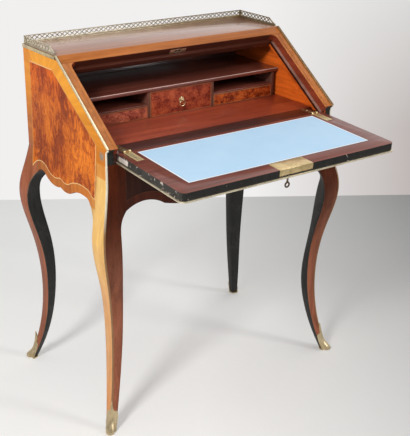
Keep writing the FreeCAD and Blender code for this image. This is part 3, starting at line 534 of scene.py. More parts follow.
# Side boards: mahogany boards with a slanted front edge, a black cove under the nose and a scalloped
# lower edge. The outer faces are veneered with a burl field, a pale stringing line and honey crossbanding.
# The left one is rubbed through to its ground near the nose.

SLANT = radians(35.087)
SLANT_NORMAL = Vector((0, -sin(SLANT), cos(SLANT)))
INNER_FACE = CASE_HALF - 0.005
side_ground = wood("side_edge_mahogany", (0.045, 0.013, 0.007), (0.17, 0.050, 0.022))
slant_stile_veneer = wood("slant_stile_veneer", (0.28, 0.080, 0.019), (0.62, 0.220, 0.058), along="Y",
                          pores=0.3)
inner_wall = wood("inner_wall_mahogany", (0.32, 0.045, 0.008), (0.92, 0.172, 0.019), along="Y", figure=0.8)
black_cove = make_ebonised("black_cove_paint", 0.80)


def side_painter(normal, middle):
    """The inner wall, the slanted edge, the cove under the nose, and all that is plain."""
    if abs(normal.x) > 0.9 and abs(middle.x) < INNER_FACE:
        return 1
    if normal.dot(SLANT_NORMAL) > 0.95:
        return 3
    return 2 if middle.y < FRONT_PLANE + 0.001 else 0


for hand in ("left", "right"):
    add_copy(f"side_board_{hand}", f"side_{hand}", [side_ground, inner_wall, black_cove, slant_stile_veneer],
             "carcass", "burl_veneer", ease=0.0006, painter=side_painter)


def make_burl_figure():
    """Burr walnut and its like: warped mottles that run along the vector's Z, curls and dark eyes."""
    tree, given, result = effect(
        "Burl figure",
        [("Vector", "Vector", None), ("Dark", "Color", (0.15, 0.04, 0.01)),
         ("Red", "Color", (0.4, 0.1, 0.03)), ("Bright", "Color", (0.7, 0.22, 0.05)), ("Eyes", "Float", 0.5)],
        [("Color", "Color"), ("Roughness", "Float"), ("Height", "Float")],
    )
    vector = given["Vector"]
    swirl = add(tree, "TexNoise", {"Vector": vector, "Scale": 0.7, "Detail": 3.0}).outputs["Color"]
    warped = add(tree, "VectorMath", {0: swirl, 1: (1.7, 1.7, 1.7), 2: vector},
                 operation="MULTIPLY_ADD").outputs[0]
    mottle = cloud(tree, warped, 0.62, 5.0, 0.58, 1.6)
    flakes = cloud(tree, warped, 3.4, 4.0, 0.65, 0.8)
    drift = cloud(tree, vector, 0.20, 2.0)
    share = worked(tree, "ADD", worked(tree, "MULTIPLY", mottle, 0.74),
                   worked(tree, "MULTIPLY", flakes, 0.26))
    share = worked(tree, "ADD", share, spread(tree, drift, 0.3, 0.7, -0.12, 0.12))
    colour = mixed(tree, spread(tree, share, 0.34, 0.52), given["Dark"], given["Red"])
    colour = mixed(tree, spread(tree, share, 0.46, 0.66), colour, given["Bright"])
    cells = add(tree, "TexVoronoi", {"Vector": warped, "Scale": 1.5}).outputs["Distance"]
    eyes = worked(tree, "MULTIPLY", spread(tree, cells, 0.05, 0.2, 1.0, 0.0),
                  spread(tree, cloud(tree, vector, 0.6, 2.0), 0.5, 0.62))
    eyes = worked(tree, "MULTIPLY", eyes, given["Eyes"])
    colour = mixed(tree, eyes, colour, given["Dark"])
    feed(tree, result, Color=colour, Roughness=spread(tree, flakes, 0.2, 0.8, 0.22, 0.36),
         Height=worked(tree, "SUBTRACT", flakes, eyes))
    return tree


burl_group = make_burl_figure()


def burl(name, dark, red, bright, scale, wear=0.3, shine=0.12, fades=()):
    """Polished burl veneer; scale sets how many mottles there are to a metre each way."""
    material, tree, shader = new_material(name, coat_weight=0.03, coat_roughness=0.12,
                                          specular_ior_level=shine)
    figure = placed(tree, burl_group, Vector=coordinates(tree, scale), Dark=dark, Red=red, Bright=bright,
                    Eyes=0.6)
    polished(tree, shader, faded(tree, figure["Color"], fades), figure, wear, 0.08)
    return material


side_burl = burl("side_burl_veneer", (0.28, 0.052, 0.013), (0.55, 0.110, 0.016),
                 (0.92, 0.255, 0.024), (66, 66, 34), shine=0.05,
                 fades=[("Y", 0.085, 0.087, (0.86, 0.80, 0.80)),
                        ("Z", 0.78, 0.87, (1.06, 0.82, 0.45))])
honey_band = wood("honey_crossband", (0.72, 0.24, 0.008), (1.00, 0.42, 0.024), along="Y", source="UV",
                  pores=0.3, wear=0.5, fades=[("Z", 0.82, 0.73, (0.74, 0.58, 0.66)),
                                              ("Y", 0.265, 0.295, (0.90, 0.78, 0.80))])
brown_band = wood("brown_crossband", (0.36, 0.082, 0.010), (0.76, 0.235, 0.028), along="Y",
                  source="UV", pores=0.3, fades=[("Y", 0.08, 0.30, (0.68, 0.66, 1.0)),
                                                 ("Y", 0.005, -0.035, (1.25, 1.75, 2.6))])
rear_band = wood("rear_crossband", (0.34, 0.078, 0.010), (0.70, 0.215, 0.026), along="Y", source="UV",
                 pores=0.3, fades=[("Z", 0.725, 0.66, (0.72, 0.74, 1.9))])
pale_string = wood("pale_stringing", (0.74, 0.42, 0.15), (1.00, 0.68, 0.32), along="X", source="UV",
                   pores=0.1, wear=0.2)
dull_string = wood("dull_stringing", (0.46, 0.17, 0.035), (0.84, 0.38, 0.11), along="X", source="UV",
                   wear=0.5)
SHEET_SINK = 0.0001
VENEER_LIFT = 0.0005
STRING_LIFT = 0.0006
STRING_WIDTH = 0.0022
BAND_WIDTH = 0.024
EDGE_GAP = 0.0006
CORNER_GAP = 0.0008
TOP_LINE = 0.911
SLANT_RISE = tan(SLANT)
NOSE_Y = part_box("side_left")[0].y


def lay_sheet(name, pairs, parts, place, lift, material, slot="burl_veneer", body="carcass"):
    """A thin sheet between pairs of points, laid on a surface by place; its UV map is in metres."""
    shape = bmesh.new()
    marks = shape.loops.layers.uv.new("run")
    rows, spots, runs, gone = [], [], {}, 0.0
    for index, (near, far) in enumerate(pairs):
        near, far = Vector(near), Vector(far)
        if index:
            before, beyond = map(Vector, pairs[index - 1])
            gone += ((near - before).length + (far - beyond).length) / 2
        spots.append([near.lerp(far, step / parts) for step in range(parts + 1)])
        rows.append([shape.verts.new(place(spot.x, spot.y, lift)) for spot in spots[-1]])
        for step, vertex in enumerate(rows[-1]):
            runs[vertex] = (gone, (far - near).length * step / parts)
    last = len(rows) - 1
    border = [(0, step) for step in range(parts)] + [(row, parts) for row in range(last)]
    border += [(last, step) for step in range(parts, 0, -1)] + [(row, 0) for row in range(last, 0, -1)]
    feet = [shape.verts.new(place(*spots[row][step], -SHEET_SINK)) for row, step in border]
    for foot, (row, step) in zip(feet, border):
        runs[foot] = runs[rows[row][step]]
    corners = [(first[step], second[step], second[step + 1], first[step + 1])
               for first, second in zip(rows, rows[1:]) for step in range(parts)]
    heads = [rows[row][step] for row, step in border]
    corners += [(heads[k - 1], feet[k - 1], feet[k], heads[k]) for k in range(len(border))]
    for index, quad in enumerate(corners):
        face = shape.faces.new(quad)
        face.smooth = index < last * parts
        for loop in face.loops:
            loop[marks].uv = runs[loop.vert]
    bmesh.ops.recalc_face_normals(shape, faces=shape.faces)
    upward = Vector(place(*spots[0][0], 1.0)) - Vector(place(*spots[0][0], 0.0))
    shape.faces.ensure_lookup_table()
    if shape.faces[0].normal.dot(upward) < 0:
        bmesh.ops.reverse_faces(shape, faces=shape.faces)
    return add_piece(name, to_mesh(shape, name), [material], body, slot)


def steps_between(first, last, count):
    """Evenly spaced values from first to last."""
    return [first + (last - first) * step / count for step in range(count + 1)]


SCALLOP_TOP = 0.62
EAR_STEP = 0.002
EAR_STEPS = 17
scallop = sorted((spot.y, spot.z) for spot in side_outline if spot.z < SCALLOP_TOP)
EAR_BACK, EAR_FOOT = scallop[0]
REAR_POST_INNER = scallop[-1][0]
scallop = [(EAR_BACK - EAR_STEP * step, EAR_FOOT) for step in range(EAR_STEPS, 0, -1)] + scallop


def edge_height(place, edge=scallop):
    """The height of a scalloped lower edge at a place along it."""
    for (near, low), (far, high) in zip(edge, edge[1:]):
        if near <= place <= far:
            return low + (high - low) * (place - near) / max(far - near, 1e-9)
    return edge[0][1] if place < edge[0][0] else edge[-1][1]


def string_height(place, edge=scallop, width=BAND_WIDTH):
    """The height of the line that keeps a band's width away from a scalloped edge."""
    near_by = [(place - near, high) for near, high in edge if abs(place - near) < width]
    return max(high + sqrt(width**2 - off**2) for off, high in near_by)


FIELD_BACK_TOP = (0.286, 0.881)
FIELD_SLANT_TOP = (0.166, 0.883)
FIELD_NOSE = (-0.042, 0.750)
FIELD_BACK_FOOT = 0.2965
FIELD_FRONT_FOOT = -0.034
BROWN_JOINT = 0.738
BACK_BAND_LEVELS = (0.86, 0.80, BROWN_JOINT)
BACK_STRING_LEVELS = (0.66, 0.71, 0.80)


def field_top(y):
    """The upper edge of the burl field: under the top band, then down along the slant band."""
    (back, high), (bend, bend_high), (nose, low) = FIELD_BACK_TOP, FIELD_SLANT_TOP, FIELD_NOSE
    if y > bend:
        return high + (bend_high - high) * (back - y) / (back - bend)
    return bend_high + (low - bend_high) * (bend - y) / (bend - nose)


def slant_edge(z):
    """How far forward the slanted edge stands at a height."""
    return NOSE_Y + (z - NOSE_TOP) / SLANT_RISE


back_foot = (FIELD_BACK_FOOT, string_height(FIELD_BACK_FOOT))
front_foot = (FIELD_FRONT_FOOT, string_height(FIELD_FRONT_FOOT))


def between(first, last, z):
    """The point at a height on a line between two points."""
    share = (z - first[1]) / (last[1] - first[1])
    return (first[0] + (last[0] - first[0]) * share, z)


tops = steps_between(FIELD_BACK_TOP[0], FIELD_SLANT_TOP[0], 18)
tops += steps_between(FIELD_SLANT_TOP[0], FIELD_NOSE[0], 32)[1:]
shares = [(FIELD_BACK_TOP[0] - y) / (FIELD_BACK_TOP[0] - FIELD_NOSE[0]) for y in tops]
feet = [FIELD_BACK_FOOT + (FIELD_FRONT_FOOT - FIELD_BACK_FOOT) * share for share in shares]
field_pairs = [((y, field_top(y)), (foot, string_height(foot))) for y, foot in zip(tops, feet)]
EAR_RUN = 0.019
EAR_DROP = 0.003
EAR_RETURN = 0.02


def band_foot(y):
    """The lower edge of the brown band: the scallop, then down the ear of the leg and up to the front."""
    gone = EAR_BACK - y
    if gone <= 0:
        return edge_height(y) + EDGE_GAP
    return EAR_FOOT - EAR_DROP * (gone / EAR_RUN if gone < EAR_RUN else 1 - (gone - EAR_RUN) / EAR_RETURN)


band_places = steps_between(REAR_POST_INNER, EAR_BACK, 110)
band_places += steps_between(EAR_BACK, FIELD_FRONT_FOOT, 16)[1:]
top_corner = (slant_edge(TOP_LINE) + CORNER_GAP, TOP_LINE)
nose_corner = (NOSE_Y + CORNER_GAP, NOSE_TOP)
back_corner = (BACK_PLANE - CORNER_GAP, TOP_LINE)
LEG_SKIN_FOOT = 0.655
RAY_START = 0.6
WORN_MIDDLE = Vector((-CASE_HALF, -0.068, 0.729))
WORN_PATCH = [((-0.080, z), (-0.047, z)) for z in (0.746, 0.738, 0.730, 0.722, 0.714, 0.707)]


def rim(points, width):
    """Pairs of points either side of a path, for a line of stringing."""
    made = []
    for index, spot in enumerate(points):
        before, after = Vector(points[max(index - 1, 0)]), Vector(points[min(index + 1, len(points) - 1)])
        run = (after - before).normalized()
        out = Vector((-run.y, run.x)) * width / 2
        made.append((Vector(spot) - out, Vector(spot) + out))
    return made


def make_worn_patch():
    """Honey veneer rubbed through to a grey ground, ragged round its middle."""
    material, tree, shader = new_material("worn_patch", specular_ior_level=0.12)
    plain = coordinates(tree)
    away = add(tree, "VectorMath", {0: plain, 1: WORN_MIDDLE}, operation="DISTANCE").outputs["Value"]
    ragged = worked(tree, "MULTIPLY", cloud(tree, plain, 210.0, 5.0, 0.7), 2.4)
    ragged = worked(tree, "ADD", ragged, spread(tree, away, 0.001, 0.017, 0.38, -0.50))
    bare = spread(tree, ragged, 1.00, 1.25)
    veneer = placed(tree, grain_group, Dark=(0.53, 0.140, 0.0053), Light=(0.74, 0.244, 0.016),
                    Vector=coordinates(tree, (GRAIN_ACROSS, GRAIN_ALONG, GRAIN_ACROSS)), Figure=0.6,
                    Pores=0.3)["Color"]
    ground = mixed(tree, cloud(tree, plain, 260.0, 4.0, 0.6), (0.10, 0.065, 0.040), (0.56, 0.46, 0.34))
    finish_surface(tree, shader, mixed(tree, bare, veneer, ground), spread(tree, bare, 0, 1, 0.3, 0.6),
                   worked(tree, "SUBTRACT", 1.0, bare), 0.2)
    return material


for hand, side in (("left", -1), ("right", 1)):
    skin = skin_of(f"side_{hand}", f"leg_front_{hand}", f"leg_rear_{hand}", "top_board")

    def on_skin(y, z, lift, side=side, skin=skin):
        hit = skin.ray_cast(Vector((side * RAY_START, y, z)), Vector((-side, 0, 0)))[0]
        return Vector(((hit.x if hit else side * CASE_HALF) + side * lift, y, z))

    def sheet(label, pairs, parts, material, lift=VENEER_LIFT):
        lay_sheet(f"{label}_{hand}", pairs, parts, on_skin, lift, material)

    sheet("burl_field", field_pairs, 30, side_burl)
    sheet("top_band", [(back_corner, FIELD_BACK_TOP), (top_corner, FIELD_SLANT_TOP)], 4, honey_band)
    sheet("slant_band", [(top_corner, FIELD_SLANT_TOP), (nose_corner, FIELD_NOSE)], 4, honey_band)
    back_line = [(back_corner, FIELD_BACK_TOP)]
    back_line += [((back_corner[0], z), between(FIELD_BACK_TOP, back_foot, z))
                  for z in BACK_BAND_LEVELS]
    sheet("back_band_upper", back_line, 4, honey_band)
    low_line = [((back_corner[0], z), between(FIELD_BACK_TOP, back_foot, z))
                for z in steps_between(BROWN_JOINT, LEG_SKIN_FOOT, 8)]
    sheet("back_band_lower", low_line, 4, rear_band)
    nose_line = [((y + EDGE_GAP, z), between(FIELD_NOSE, front_foot, z)) for y, z in reversed(nose_points)]
    sheet("front_band", nose_line, 4, honey_band)
    low_band = [((y, band_foot(y)), (y, string_height(y))) for y in band_places]
    sheet("scallop_band", low_band, 3, brown_band)
    low_string = [(y, string_height(y)) for y in steps_between(FIELD_BACK_FOOT, FIELD_FRONT_FOOT, 130)]
    rising = [between(FIELD_BACK_TOP, back_foot, z) for z in BACK_STRING_LEVELS]
    for label, path, string in (("scallop", low_string, pale_string),
                                ("back", [back_foot, *rising, FIELD_BACK_TOP], dull_string),
                                ("top", [FIELD_BACK_TOP, FIELD_SLANT_TOP], pale_string),
                                ("slant", [FIELD_SLANT_TOP, FIELD_NOSE], dull_string),
                                ("front", [FIELD_NOSE, front_foot], pale_string)):
        sheet(f"{label}_string", rim(path, STRING_WIDTH), 1, string, STRING_LIFT)
    if side < 0:
        sheet("worn_patch", WORN_PATCH, 3, make_worn_patch(), STRING_LIFT)


# Aprons: boards between the posts, scalloped like the sides. The front one is veneered with dark
# mahogany, darkened further as painted shade under the fall, with a redder crossband and a fine line
# along its lower edge; the back one is plain.

# Darker than the mahogany itself: painted shade, for the shadow the fall casts on the front apron.
shaded_apron_veneer = wood("shaded_apron_veneer", (0.012, 0.004, 0.003), (0.048, 0.014, 0.008))
apron_band = wood("apron_crossband", (0.028, 0.007, 0.004), (0.095, 0.023, 0.011), along="Y", source="UV")
apron_line = wood("apron_line", (0.07, 0.023, 0.012), (0.15, 0.055, 0.030), along="X", source="UV")
back_wood = wood("back_wood", (0.16, 0.065, 0.028), (0.36, 0.17, 0.08), wear=0.6, coat=0.0)


def front_painter(normal, middle):
    """The veneered front, and the plain wood behind it."""
    return 0 if normal.y < -0.9 else 1


add_copy("apron_board_front", "front_apron", [shaded_apron_veneer, side_ground], "carcass", "case_mahogany",
         ease=0.0006, painter=front_painter)
add_copy("apron_board_back", "back_apron", [back_wood], "carcass", "case_mahogany", ease=0.0006)
APRON_BAND = 0.021
APRON_LINE = 0.0010
BELOW_POSTS = LEG_TOP - 0.001
apron_outline = flat_outline("front_apron", 1, FRONT_PLANE)
apron_edge = sorted((spot.x, spot.z) for spot in apron_outline if spot.z < BELOW_POSTS)


def on_apron(x, z, lift):
    return Vector((x, FRONT_PLANE - lift, z))


apron_places = steps_between(apron_edge[0][0], apron_edge[-1][0], 160)
apron_tops = [min(string_height(x, apron_edge, APRON_BAND), BELOW_POSTS) for x in apron_places]
band_pairs = [((x, edge_height(x, apron_edge) + EDGE_GAP), (x, top))
              for x, top in zip(apron_places, apron_tops)]
lay_sheet("apron_scallop_band", band_pairs, 3, on_apron, VENEER_LIFT, apron_band, "case_mahogany")
lay_sheet("apron_scallop_line", rim(list(zip(apron_places, apron_tops)), APRON_LINE), 1, on_apron,
          STRING_LIFT, apron_line, "case_mahogany")


# Top, floor and back: the top is a mahogany board bevelled to the slope of the front, the floor carries
# the writing height, and the back is a thinner panel let in between the sides.

top_polish = wood("top_polish", (0.22, 0.085, 0.045), (0.48, 0.23, 0.14), along="X", figure=0.5,
                  coat=1.0, shine=0.5)
slant_rail_veneer = wood("slant_rail_veneer", (0.21, 0.052, 0.011), (0.52, 0.170, 0.039), along="X",
                         figure=0.8, pores=0.4)
# The second fade darkens the floor board towards its right end: painted shade.
floor_mahogany = wood("floor_mahogany", (0.15, 0.024, 0.013), (0.43, 0.088, 0.046), along="X",
                      figure=0.8, coat=0.15, shine=0.3,
                      fades=[("Y", -0.031, -0.035, (0.19, 0.22, 0.26)),
                             ("X", -0.20, 0.15, (0.86, 0.70, 0.54))])
# The inside of the back is lighter and greyer towards its left end: a painted reflection.
inside_mahogany_painted_reflection = wood("inside_mahogany_painted_reflection", (0.066, 0.034, 0.030), (0.205, 0.108, 0.094), along="X",
                       coat=1.0, shine=0.9, fades=[("X", 0.05, -0.30, (1.35, 1.35, 1.5))])


def top_painter(normal, middle):
    """The polished upper face, the veneered bevel, and the plain rest."""
    if normal.z > 0.95:
        return 0
    return 1 if normal.dot(SLANT_NORMAL) > 0.95 else 2


add_copy("top_panel", "top_board", [top_polish, slant_rail_veneer, side_ground], "carcass", "case_mahogany",
         ease=0.0007, painter=top_painter)
add_copy("writing_floor", "floor_board", [floor_mahogany], "carcass", "inner_mahogany", ease=0.0005)


def back_painter(normal, middle):
    """Plain wood behind, polished inside."""
    return 1 if normal.y > 0.5 else 0


add_copy("back_board", "back_panel", [inside_mahogany_painted_reflection, back_wood], "carcass", "back_wood", ease=0.0005,
         painter=back_painter)


# Slanted frame: a stile down each side and a rail under the top, veneered on the slope, with a
# rebate that stops the fall; a brass strike plate in the rail takes the lock's bolt.

rebate_mahogany = wood("rebate_mahogany", (0.11, 0.018, 0.008), (0.36, 0.064, 0.027), along="Y", coat=0.3)
# The rail's rebate is a darker copy of the rebate mahogany: painted shade under the rail.
shaded_rail_rebate = wood("shaded_rail_rebate", (0.028, 0.007, 0.005), (0.10, 0.024, 0.012), along="X")
# A dark line along the stop's edge: painted shade in the corner of the rebate.
stop_shade = wood("stop_shade", (0.020, 0.006, 0.004), (0.075, 0.018, 0.009), along="Y")


def stile_painter(normal, middle):
    """The slope, the rebate, the front of the stop painted pale as a highlight, a painted shade line along
    its edge, and its side like the wall.
    """
    depth = frame_level - middle.dot(SLANT_NORMAL)
    if normal.dot(SLANT_NORMAL) > 0.95:
        return 0 if depth < 0 else 2
    if abs(normal.x) > 0.9 and depth > REBATE_DEPTH:
        return 4 if depth < REBATE_DEPTH + STOP_SHADE else 3
    return 1


REBATE_DEPTH = 0.018
STOP_SHADE = 0.006
SLOPE_MARGIN = 0.003
STILE_EASE = 0.0009
frame_level = Vector((0, NOSE_Y, NOSE_TOP)).dot(SLANT_NORMAL) - SLOPE_MARGIN
# The stop's narrow front is painted pale pink: a painted highlight on its rounded edge.
stop_highlight_mahogany = wood("stop_highlight_mahogany", (0.15, 0.062, 0.046), (0.46, 0.25, 0.19), along="Y")
frame_woods = [slant_stile_veneer, rebate_mahogany, stop_highlight_mahogany, inner_wall, stop_shade]
for hand in ("left", "right"):
    stile = eased(cad_shape(f"stile_{hand}"), STILE_EASE)
    bmesh.ops.bisect_plane(stile, geom=stile.verts[:] + stile.edges[:] + stile.faces[:],
                           plane_no=SLANT_NORMAL,
                           plane_co=SLANT_NORMAL * (frame_level - REBATE_DEPTH - STOP_SHADE))
    add_piece(f"slant_stile_{hand}", to_mesh(stile, f"slant_stile_{hand}", stile_painter), frame_woods,
              "carcass", "case_mahogany", f"stile_{hand}")
rail_woods = [slant_rail_veneer, shaded_rail_rebate, shaded_rail_rebate, inner_wall, inner_wall]
add_copy("slant_rail", "slant_top_rail", rail_woods, "carcass", "case_mahogany", STILE_EASE, stile_painter)
trim_brass = make_brass("trim_brass", (0.92, 0.80, 0.55), (0.45, 0.34, 0.17), 0.35, dull=0.05)
dull_brass = make_brass("dull_brass", (0.78, 0.64, 0.38), (0.34, 0.26, 0.12), 0.7)
add_copy("bolt_strike", "strike_plate", [trim_brass], "carcass", "gilt_brass", ease=0.0003)


# Mouldings: drawn brass strips pinned along the two slanted edges and the two side edges of the top. The
# slanted ones have a bead along the outer edge, rubbed bright on the left; the flat and all of the right
# moulding are dark brass, partly tarnish and partly painted shade on the side turned from the light.

BEAD_EDGE = CASE_HALF - 0.0036
# On the slanted mouldings this dark brass is partly tarnish and partly painted shade on the side turned from
# the light.
dark_brass = make_brass("dark_flat_brass", (0.32, 0.19, 0.085), (0.12, 0.075, 0.035), 0.7, dull=0.2)
moulding = cad_shape("slant_mouldings")
for side in (-1, 1):
    bmesh.ops.bisect_plane(moulding, geom=moulding.verts[:] + moulding.edges[:] + moulding.faces[:],
                           plane_co=(side * BEAD_EDGE, 0, 0), plane_no=(1, 0, 0))


def moulding_painter(normal, middle):
    """The bright bead on the left, and the dark brass of all the rest, partly painted shade."""
    return 0 if middle.x < -BEAD_EDGE else 1


moulding_mesh = to_mesh(eased(moulding, width=0.0014, segments=4), "slant_edge_mouldings",
                        moulding_painter)
add_piece("slant_edge_mouldings", moulding_mesh, [trim_brass, dark_brass], "carcass", "gilt_brass",
          "slant_mouldings")
add_copy("top_side_mouldings", "top_edge_mouldings", [dull_brass], "carcass", "gilt_brass", ease=0.0010,
         segments=3)


# Gallery: pierced brass round three sides of the top, a lattice of thin diagonal bars between a
# moulded base and a top rail, soldered at the corners and pinned to the top board. Each side run ends
# in front in a bar that slopes from the rail down to the base.

def new_tree(name, *inputs):
    """A geometry node tree with named inputs: the tree, what it is given, its last socket."""
    tree = bpy.data.node_groups.new(name, "GeometryNodeTree")
    tree.interface.new_socket("Geometry", in_out="INPUT", socket_type="NodeSocketGeometry")
    for label, kind in inputs:
        tree.interface.new_socket(label, in_out="INPUT", socket_type="NodeSocket" + kind)
    tree.interface.new_socket("Geometry", in_out="OUTPUT", socket_type="NodeSocketGeometry")
    return tree, tree.nodes.new("NodeGroupInput").outputs, tree.nodes.new("NodeGroupOutput").inputs[0]


def close_tree(tree, made, material, result):
    """End a tree in real geometry with its material."""
    whole = add(tree, "RealizeInstances", {0: made}).outputs[0]
    tree.links.new(add(tree, "SetMaterial", {0: whole, "Material": material}).outputs[0], result)


def grown(name, tree, base, values):
    """The mesh that a tree makes from a base mesh; the modifier is gone afterwards."""
    holder = bpy.data.objects.new(name, base)
    scene.collection.objects.link(holder)
    modifier = holder.modifiers.new(name, "NODES")
    modifier.node_group = tree
    labels = {item.name: item.identifier for item in tree.interface.items_tree if item.in_out == "INPUT"}
    for label, value in values.items():
        modifier[labels[label]] = value
    mesh = bpy.data.meshes.new_from_object(holder.evaluated_get(bpy.context.evaluated_depsgraph_get()))
    holder.modifiers.remove(modifier)
    bpy.data.objects.remove(holder)
    mesh.materials.clear()
    return mesh


def make_lattice():
    """Pairs of crossed bars set along a line at an even pitch."""
    tree, given, result = new_tree("Gallery lattice", ("Pitch", "Float"), ("Lean", "Float"),
                                   ("Bar Length", "Float"), ("Bar Width", "Float"), ("Bar Depth", "Float"),
                                   ("Material", "Material"))
    line = add(tree, "MeshToCurve", {0: given["Geometry"]}).outputs[0]
    places = add(tree, "ResampleCurve", {"Curve": line, "Length": given["Pitch"]}, mode="LENGTH").outputs[0]
    size = add(tree, "ShaderNodeCombineXYZ", {0: given["Bar Width"], 1: given["Bar Depth"],
                                              2: given["Bar Length"]})
    bar = add(tree, "MeshCube", {"Size": size.outputs[0]}).outputs[0]
    crossed = add(tree, "JoinGeometry", {})
    for hand in (-1, 1):
        lean = add(tree, "ShaderNodeMath", {0: given["Lean"], 1: hand}, operation="MULTIPLY").outputs[0]
        angles = add(tree, "ShaderNodeCombineXYZ", {1: lean}).outputs[0]
        turned = add(tree, "Transform", {"Geometry": bar, "Rotation": angles})
        tree.links.new(turned.outputs[0], crossed.inputs[0])
    tangent = add(tree, "InputTangent", {}).outputs[0]
    facing = add(tree, "FunctionNodeAlignRotationToVector", {"Vector": tangent}, axis="X").outputs[0]
    set_out = add(tree, "InstanceOnPoints", {"Points": places, "Instance": crossed.outputs[0],
                                             "Rotation": facing})
    close_tree(tree, set_out.outputs[0], given["Material"], result)
    return tree


lattice_tree = make_lattice()
# Darker towards the right: painted shade on the runs turned from the light.
shaded_gallery_brass = make_brass("shaded_gallery_brass", (0.72, 0.64, 0.48), (0.26, 0.21, 0.13), 0.6, dull=0.1,
                           fades=[("X", -0.25, 0.15, (0.50, 0.45, 0.38))])
GALLERY_BASE = 0.0062
GALLERY_RAIL = 0.0022
LATTICE_PITCH = 0.0144
END_SLOPE = 0.028
BAR_WIDTH = 0.0021
BAR_DEPTH = 0.0016
LATTICE_GAP = 0.0015
SLOPE_OVERLAP = 0.0055
SLOPE_BAR = 0.0011
SLOPE_DROP = 0.0014
SLOPE_SETBACK = 0.003
SLOPE_FOOT = GALLERY_BASE * 0.7
SLOPE_SHARE = 0.7
RAIL_SHARE = 0.8
POST_HALF = 0.4
POST_FOOT = GALLERY_BASE * 0.8
POST_GAP = 0.0005
POST_SECTION = [(-0.4, 0), (0.4, 0), (0.4, 1), (-0.4, 1)]
BASE_SECTION = [(-0.5, 0), (0.5, 0), (0.5, 0.25), (0.36, 0.42), (0.44, 0.7), (0.25, 1), (-0.25, 1),
                (-0.44, 0.7), (-0.36, 0.42), (-0.5, 0.25)]
RAIL_SECTION = [(-0.5, 0.2), (-0.3, 0), (0.3, 0), (0.5, 0.2), (0.5, 0.75), (0.25, 1), (-0.25, 1),
                (-0.5, 0.75)]


def add_run(shape, start, stop, section, width, foot, height):
    """A straight moulded bar between two points, with its ends closed."""
    across = Vector((-(stop - start).y, (stop - start).x, 0)).normalized()
    add_solid(shape, [[spot + across * over * width + Vector((0, 0, foot + up * height))
                       for over, up in section] for spot in (start, stop)])


for name in ("back", "left", "right"):
    low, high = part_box(f"gallery_{name}")
    middle = (low + high) / 2
    if name == "back":
        start, stop = Vector((low.x, middle.y, low.z)), Vector((high.x, middle.y, low.z))
    else:
        start, stop = Vector((middle.x, high.y, low.z)), Vector((middle.x, low.y, low.z))
    way = (stop - start).normalized()
    tall = high.z - low.z
    fret = tall - GALLERY_BASE - GALLERY_RAIL
    margin = fret / 2 + LATTICE_GAP
    first = start + way * margin
    last = stop - way * (margin if name == "back" else margin + END_SLOPE - SLOPE_OVERLAP)
    count = round((last - first).length / LATTICE_PITCH)
    line = bpy.data.meshes.new("lattice_line")
    lift = Vector((0, 0, GALLERY_BASE + fret / 2))
    line.from_pydata([first + lift, last + lift], [(0, 1)], [])
    pitch = (last - first).length / count
    values = {"Pitch": pitch, "Lean": atan2(pitch, fret), "Bar Length": sqrt(fret**2 + pitch**2),
              "Bar Width": BAR_WIDTH, "Bar Depth": BAR_DEPTH, "Material": shaded_gallery_brass}
    shape = bmesh.new()
    shape.from_mesh(grown("lattice", lattice_tree, line, values))
    wide = min(high.x - low.x, high.y - low.y)
    add_run(shape, start, stop, BASE_SECTION, wide, 0, GALLERY_BASE)
    reach = stop if name == "back" else stop - way * END_SLOPE
    add_run(shape, start, reach, RAIL_SECTION, wide * RAIL_SHARE, tall - GALLERY_RAIL, GALLERY_RAIL)
    posts = [start + way * wide / 2] + ([stop - way * wide / 2] if name == "back" else [])
    for post in posts:
        add_run(shape, post - way * wide * POST_HALF, post + way * wide * POST_HALF, POST_SECTION, wide,
                POST_FOOT, tall - POST_FOOT - POST_GAP)
    if name != "back":
        top_end = reach + Vector((0, 0, tall - SLOPE_DROP))
        low_end = stop - way * SLOPE_SETBACK + Vector((0, 0, SLOPE_FOOT))
        run = low_end - top_end
        over = Vector((0.5 * wide * SLOPE_SHARE, 0, 0))
        thick = Vector((0, -run.z, run.y)).normalized() * SLOPE_BAR
        square = ((1, 1), (1, -1), (-1, -1), (-1, 1))
        add_solid(shape, [[end + sign * over + side * thick for sign, side in square]
                          for end in (top_end, low_end)])
    add_piece(f"gallery_fret_{name}", to_mesh(shape, f"gallery_fret_{name}"), [shaded_gallery_brass], "carcass",
              "gilt_brass", f"gallery_{name}")


# Fitment: a tier shelf across the case on two ends and two dividers, with a thin shelf over each low
# drawer. All are thin mahogany boards with rounded front edges, polished in front.

tier_mahogany = wood("tier_mahogany", (0.060, 0.015, 0.010), (0.23, 0.060, 0.038), along="X", coat=0.5,
                     shine=0.4)
# The upper arris of the tier shelf's front edge is painted pale pink: a painted highlight.
highlight_shelf_edge = wood("shelf_edge_highlight", (0.26, 0.13, 0.10), (0.66, 0.46, 0.40), along="X", wear=0.6)
upright_mahogany = wood("upright_mahogany", (0.07, 0.024, 0.016), (0.22, 0.085, 0.058))


def shelf_painter(normal, middle):
    """The upper arris of the front edge, painted pale as a highlight, and the rest."""
    return 1 if normal.y < -0.25 and normal.z > 0.25 else 0


add_copy("tier_board", "tier_shelf", [tier_mahogany, highlight_shelf_edge], "carcass", "inner_mahogany", ease=0.0026,
         painter=shelf_painter, segments=4)
for name, node, board in (("fitment_end_boards", "fitment_ends", upright_mahogany),
                          ("divider_boards", "dividers", upright_mahogany),
                          ("pigeonhole_boards", "pigeonhole_shelves", tier_mahogany)):
    add_copy(name, node, [board], "carcass", "inner_mahogany", ease=0.0008)


# Drawers: mahogany boxes with burl fronts, each edged with a fine rounded cock-bead glued in a
# rebate; the linings are plain quarter-sawn wood, rubbed with wax.

